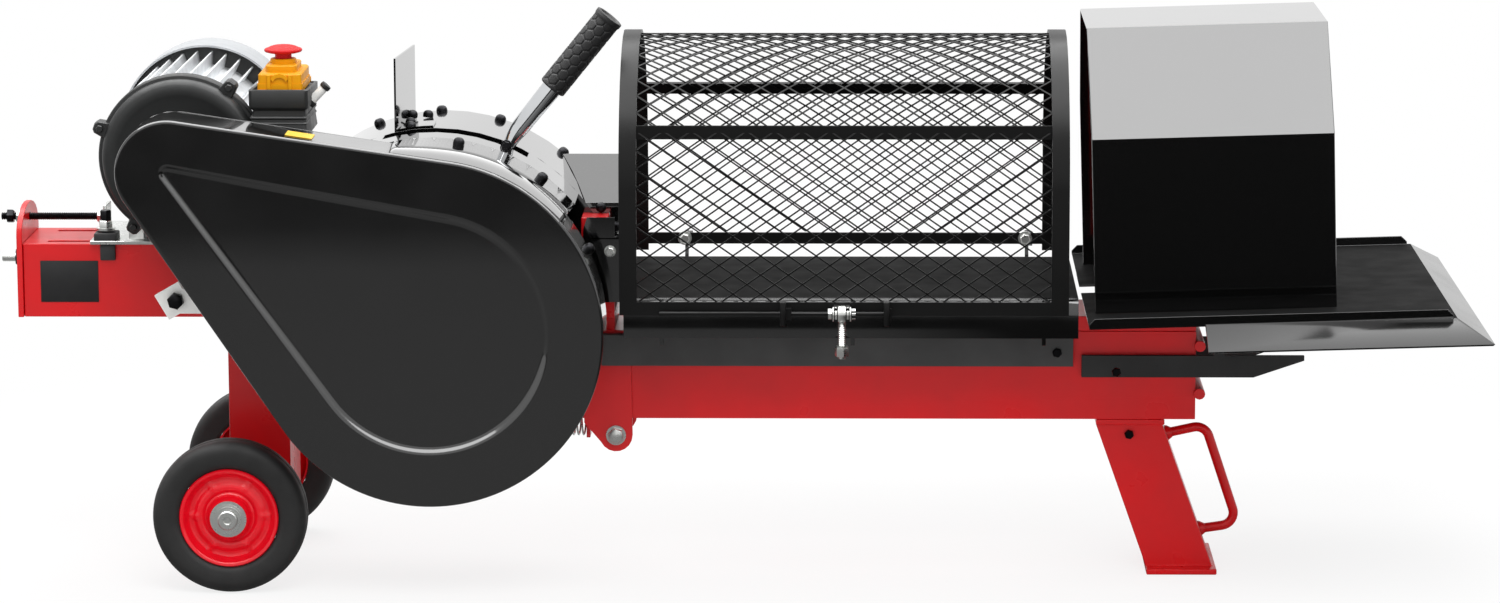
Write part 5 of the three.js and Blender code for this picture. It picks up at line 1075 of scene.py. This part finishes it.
screw = [(0, -774.3), (3, -774.3), *threads(-773.6, -665, 4.1, 3.3), (3, -664.5), (0, -664.5)]
bm = bmesh.new()
turned(bm, screw, mm(0, 0, SCREW_Z), (1, 0, 0), 20)
piece("threaded_screw", bm, black_oxide, "frame", ["tension_screw"], sharp=70)

bm = bmesh.new()
block(bm, mm(-668, -59, 353), mm(-644, -33, 363), 1.5)
block(bm, mm(-662, -57, 334), mm(-646, -51.8, 350.5), 1.2)
piece("rubber_foot", bm, belt_rubber)
# The black sheet below is painted shade: it darkens the gap between the guard and the cage, and the
# end of the housing in it, which lie in shadow.
PAINTED_SHADE_SHEET = [(-152, 298), (-152, 374), (-148, 387), (-119, 387), (-119, 366), (-114.5, 366)]
PAINTED_SHADE_SHEET.append((-114.5, 298))
bm = bmesh.new()
loft(bm, [[mm(x, y, z) for x, z in PAINTED_SHADE_SHEET] for y in (-98.5, -96.5)])
block(bm, mm(-147, -98.5, 364), mm(-114.5, -58, 366), 0.4)
block(bm, mm(-152, -98.5, 298), mm(-150, -58, 352), 0.4)
piece("painted_shade_sheet", bm, gloss_black)

bm = bmesh.new()
block(bm, mm(-726, -52.9, 289), mm(-665, -52.1, 333), 0.3)
piece("blank_rating_plate", bm, dark_film)
PULLEY = Vector((-570, 0, 448))
LABEL_ALONG = (112, 140)
LABEL_CORNERS = [(-180, 0.05), (-150, 0.05), (-150, 0.5), (-180, 0.5)]
belt_way = PULLEY - SHAFT
turn = acos((GUARD_BIG_R - GUARD_SMALL_R) / belt_way.length)
rim_out = polar(atan2(belt_way.z, belt_way.x) - turn)
rim_along = Vector((rim_out.z, 0, -rim_out.x))
rings = []
for along in LABEL_ALONG:
    corner = PULLEY + rim_out * GUARD_SMALL_R + rim_along * along
    rings.append([(corner + Vector((0, y, 0)) + rim_out * lift) * MM for y, lift in LABEL_CORNERS])
bm = bmesh.new()
loft(bm, rings)
piece("blank_label", bm, yellow_film)
bm = bmesh.new()
stub = [(0, -774.4), (4.2, -774.4), (4.7, -773.6), (4.7, -751), (0, -751)]
turned(bm, stub, mm(0, 0, STUD_Z), (1, 0, 0), 24)
piece("lower_stud", bm, zinc)
print("screw, foot, sheets and labels ready")

# %% [markdown]
# ## The cage's latch
#
# A swing bolt hangs from a pin on the cage's front bar. It swings down into a slot in the lip
# of the table and its long nut is tightened there. The pin runs in two small black lugs.

# %% Latch
PIN = mm(117, -166, 298)
DOWN = (0, 0, -1)
bm = bmesh.new()
turned(bm, mirrored([(8.6, 3), (8, 4), (3.6, 4)]), PIN, (1, 0, 0), 36, loop=True)
turned(bm, [(0, 6), (3.9, 6), *threads(8, 44, 4.0, 3.3), (3.4, 46.5), (0, 46.5)], PIN, DOWN, 24)
nut = [(4.2, 35), (7.4, 35), (7.4, 43), (6.6, 44), (4.2, 44)]
for profile in (nut, collar(4.2, 6.6, 33, 36)):
    turned(bm, profile, PIN, DOWN, 6, loop=True)
for side in (-1, 1):
    for near_x, far_x, r, sides in ((5, 7, 7.5, 28), (8, 9.5, 7.5, 28), (10.5, 14, 6, 6)):
        turned(bm, collar(3.2, r, near_x, far_x), PIN, (side, 0, 0), sides, loop=True)
piece("latch_bolt", bm, zinc, "latch", ["swing_bolt"], sharp=40)
bm = bmesh.new()
for x in (56.5, 163):
    block(bm, mm(x - 3, -171, 286), mm(x + 3, -156, 311), 1.4)
piece("latch_lugs", bm, cage_black, "cage")
print("latch ready")

# %% [markdown]
# ## The studio
#
# The photograph was taken in a white studio: a pale floor, a soft light overhead, and white all
# round. Black enamel shows little but its surroundings, so these matter as much as the paint.
# Two large soft lamps light the machine and the world gives an even fill. The camera and the
# reflections see a white backdrop at a strength of one. For reflections, the floor's emission
# is painted: nearly dark in front of the machine, with a painted pool of dim light before the
# guard. The upright sheets mirror it as painted reflections, so the guard's face is a dark grey
# and the hood's is nearly black. A wide panel overhead is seen only by reflections: it whitens
# the slopes that look up.

# %% Floor and world
FLOOR_HALF = 9.0
# The pool is a painted pool of light on the floor, seen only in reflections.
POOL_X = (0.12, 0.34)  # the pool of light fades out over these, in metres
POOL_Y = (-2.55, -2.2)
PAINTED_POOL_LIGHT = (0.02, 0.3)
SHADOW_FADES = (0.6, 1.3)  # the soft shadow thins out between these distances
SHADOW_SHARE = 0.8
bpy.ops.mesh.primitive_plane_add(size=2 * FLOOR_HALF, location=(0, 0, -0.0005))
floor = bpy.context.object
floor.name = "studio_floor"


def backdrop_rays(tree):
    """One for the rays that the camera, a mirror or glass sends out, and nought for light."""
    path = add(tree, "LightPath").outputs
    seen = path["Is Camera Ray"]
    for kind in ("Is Glossy Ray", "Is Transmission Ray"):
        inputs = {0: seen, 1: path[kind]}
        seen = add(tree, "Math", inputs, operation="ADD", use_clamp=True).outputs[0]
    return seen, path["Is Glossy Ray"]


FLOOR = {"Base_Color": srgb("F7F7F7"), "Roughness": 0.9, "Specular_IOR_Level": 0.0}
floor_paint, tree, shader = paint("studio_floor_paint", **FLOOR)
rays, glossy = backdrop_rays(tree)
place = add(tree, "TexCoord").outputs["Object"]
axes = add(tree, "SeparateXYZ", {0: place}).outputs
# Reflections see the floor's emission: painted nearly dark in front of the machine, with a painted
# pool of dim light before the guard, and white behind it.
near = ramp(tree, axes["X"], *POOL_X, 1.0, 0.0), ramp(tree, axes["Y"], *POOL_Y)
pool = add(tree, "Math", dict(enumerate(near)), operation="MULTIPLY").outputs[0]
dim = ramp(tree, pool, 0.0, 1.0, *PAINTED_POOL_LIGHT)
bright = add(tree, "Mix", {0: ramp(tree, axes["Y"], 0.0, 0.5), 2: dim, 3: 1.0}).outputs[0]
strength = add(tree, "Mix", {0: glossy, 2: 1.0, 3: bright}).outputs[0]
white = add(tree, "Emission", {"Strength": strength})
away = add(tree, "VectorMath", {0: place}, operation="LENGTH").outputs["Value"]
edge = ramp(tree, away, *SHADOW_FADES, SHADOW_SHARE, 1.0)
edge = add(tree, "Mix", {0: glossy, 2: edge, 3: 1.0}).outputs[0]
share = add(tree, "Math", {0: rays, 1: edge}, operation="MULTIPLY").outputs[0]
mixed = add(tree, "MixShader", {0: share, 1: shader.outputs[0], 2: white.outputs[0]})
tree.links.new(mixed.outputs[0], tree.nodes["Material Output"].inputs["Surface"])
floor.data.materials.append(floor_paint)

world = bpy.data.worlds.new("white_studio")
bpy.context.scene.world = world
world.use_nodes = True
tree = world.node_tree
fill = tree.nodes["Background"]
fill.inputs["Color"].default_value = srgb("FFFFFF")
fill.inputs["Strength"].default_value = 0.8
backdrop = add(tree, "Background", {"Color": srgb("FFFFFF"), "Strength": 1.0})
rays, glossy = backdrop_rays(tree)
mixed = add(tree, "MixShader", {0: rays, 1: fill.outputs[0], 2: backdrop.outputs[0]})
tree.links.new(mixed.outputs[0], tree.nodes["World Output"].inputs["Surface"])
print("floor and world ready")

# %% [markdown]
# The lamps are plain soft boxes at ordinary power, and reflections don't see them, because a
# bright square in every slope would hide its form. The ceiling panel is the other way round: a
# lamp that only reflections see, so the machine is not lit twice.

# %% Lamps
def soft_lamp(name, place, target, size, watts):
    """A rectangular lamp at a place, in metres, that looks at a target."""
    data = bpy.data.lights.new(name, "AREA")
    data.shape = "RECTANGLE"
    data.size, data.size_y = size
    data.energy = watts
    lamp = bpy.data.objects.new(name, data)
    bpy.context.scene.collection.objects.link(lamp)
    lamp.location = place
    aim = Vector(target) - Vector(place)
    lamp.rotation_euler = aim.to_track_quat("-Z", "Y").to_euler()
    return lamp


front_lamp = soft_lamp("overhead_front", (0.2, -2.4, 3.4), (0, 0, 0.3), (2.2, 2.2), 80)
back_lamp = soft_lamp("overhead_back", (-0.3, 1.6, 3.6), (0, 0, 0.3), (2.2, 2.2), 50)
for lamp in (front_lamp, back_lamp):
    lamp.visible_glossy = False
panel = soft_lamp("ceiling_panel", (0.2, 0.2, 3.2), (0.2, 0.2001, 0), (7.0, 5.4), 560)
panel.visible_diffuse = False
panel.visible_camera = False
print("lamps ready")

# %% [markdown]
# ## The camera
#
# The photograph looks at the long side from a little above, from far enough away that lines
# hardly converge. The place, tilt and lens below were found from the pixels of the wheels, the
# beam's end, the hood's corners and the foot, matched with the same points of the CAD.

# %% Camera
LENS_MM = 120.96
SENSOR_MM = 36
CAMERA_PLACE = (0.1419, -5.2537, 1.232)
CAMERA_TURN = (79.7434, 0.1493, 1.3145)
camera_data = bpy.data.cameras.new("photo_view")
camera_data.sensor_width = SENSOR_MM
camera_data.lens = LENS_MM
camera = bpy.data.objects.new("photo_view", camera_data)
bpy.context.scene.collection.objects.link(camera)
camera.location = CAMERA_PLACE
camera.rotation_euler = [radians(turn) for turn in CAMERA_TURN]
bpy.context.scene.camera = camera
bpy.context.scene.view_settings.view_transform = "Standard"
print("camera lens", camera_data.lens, "mm")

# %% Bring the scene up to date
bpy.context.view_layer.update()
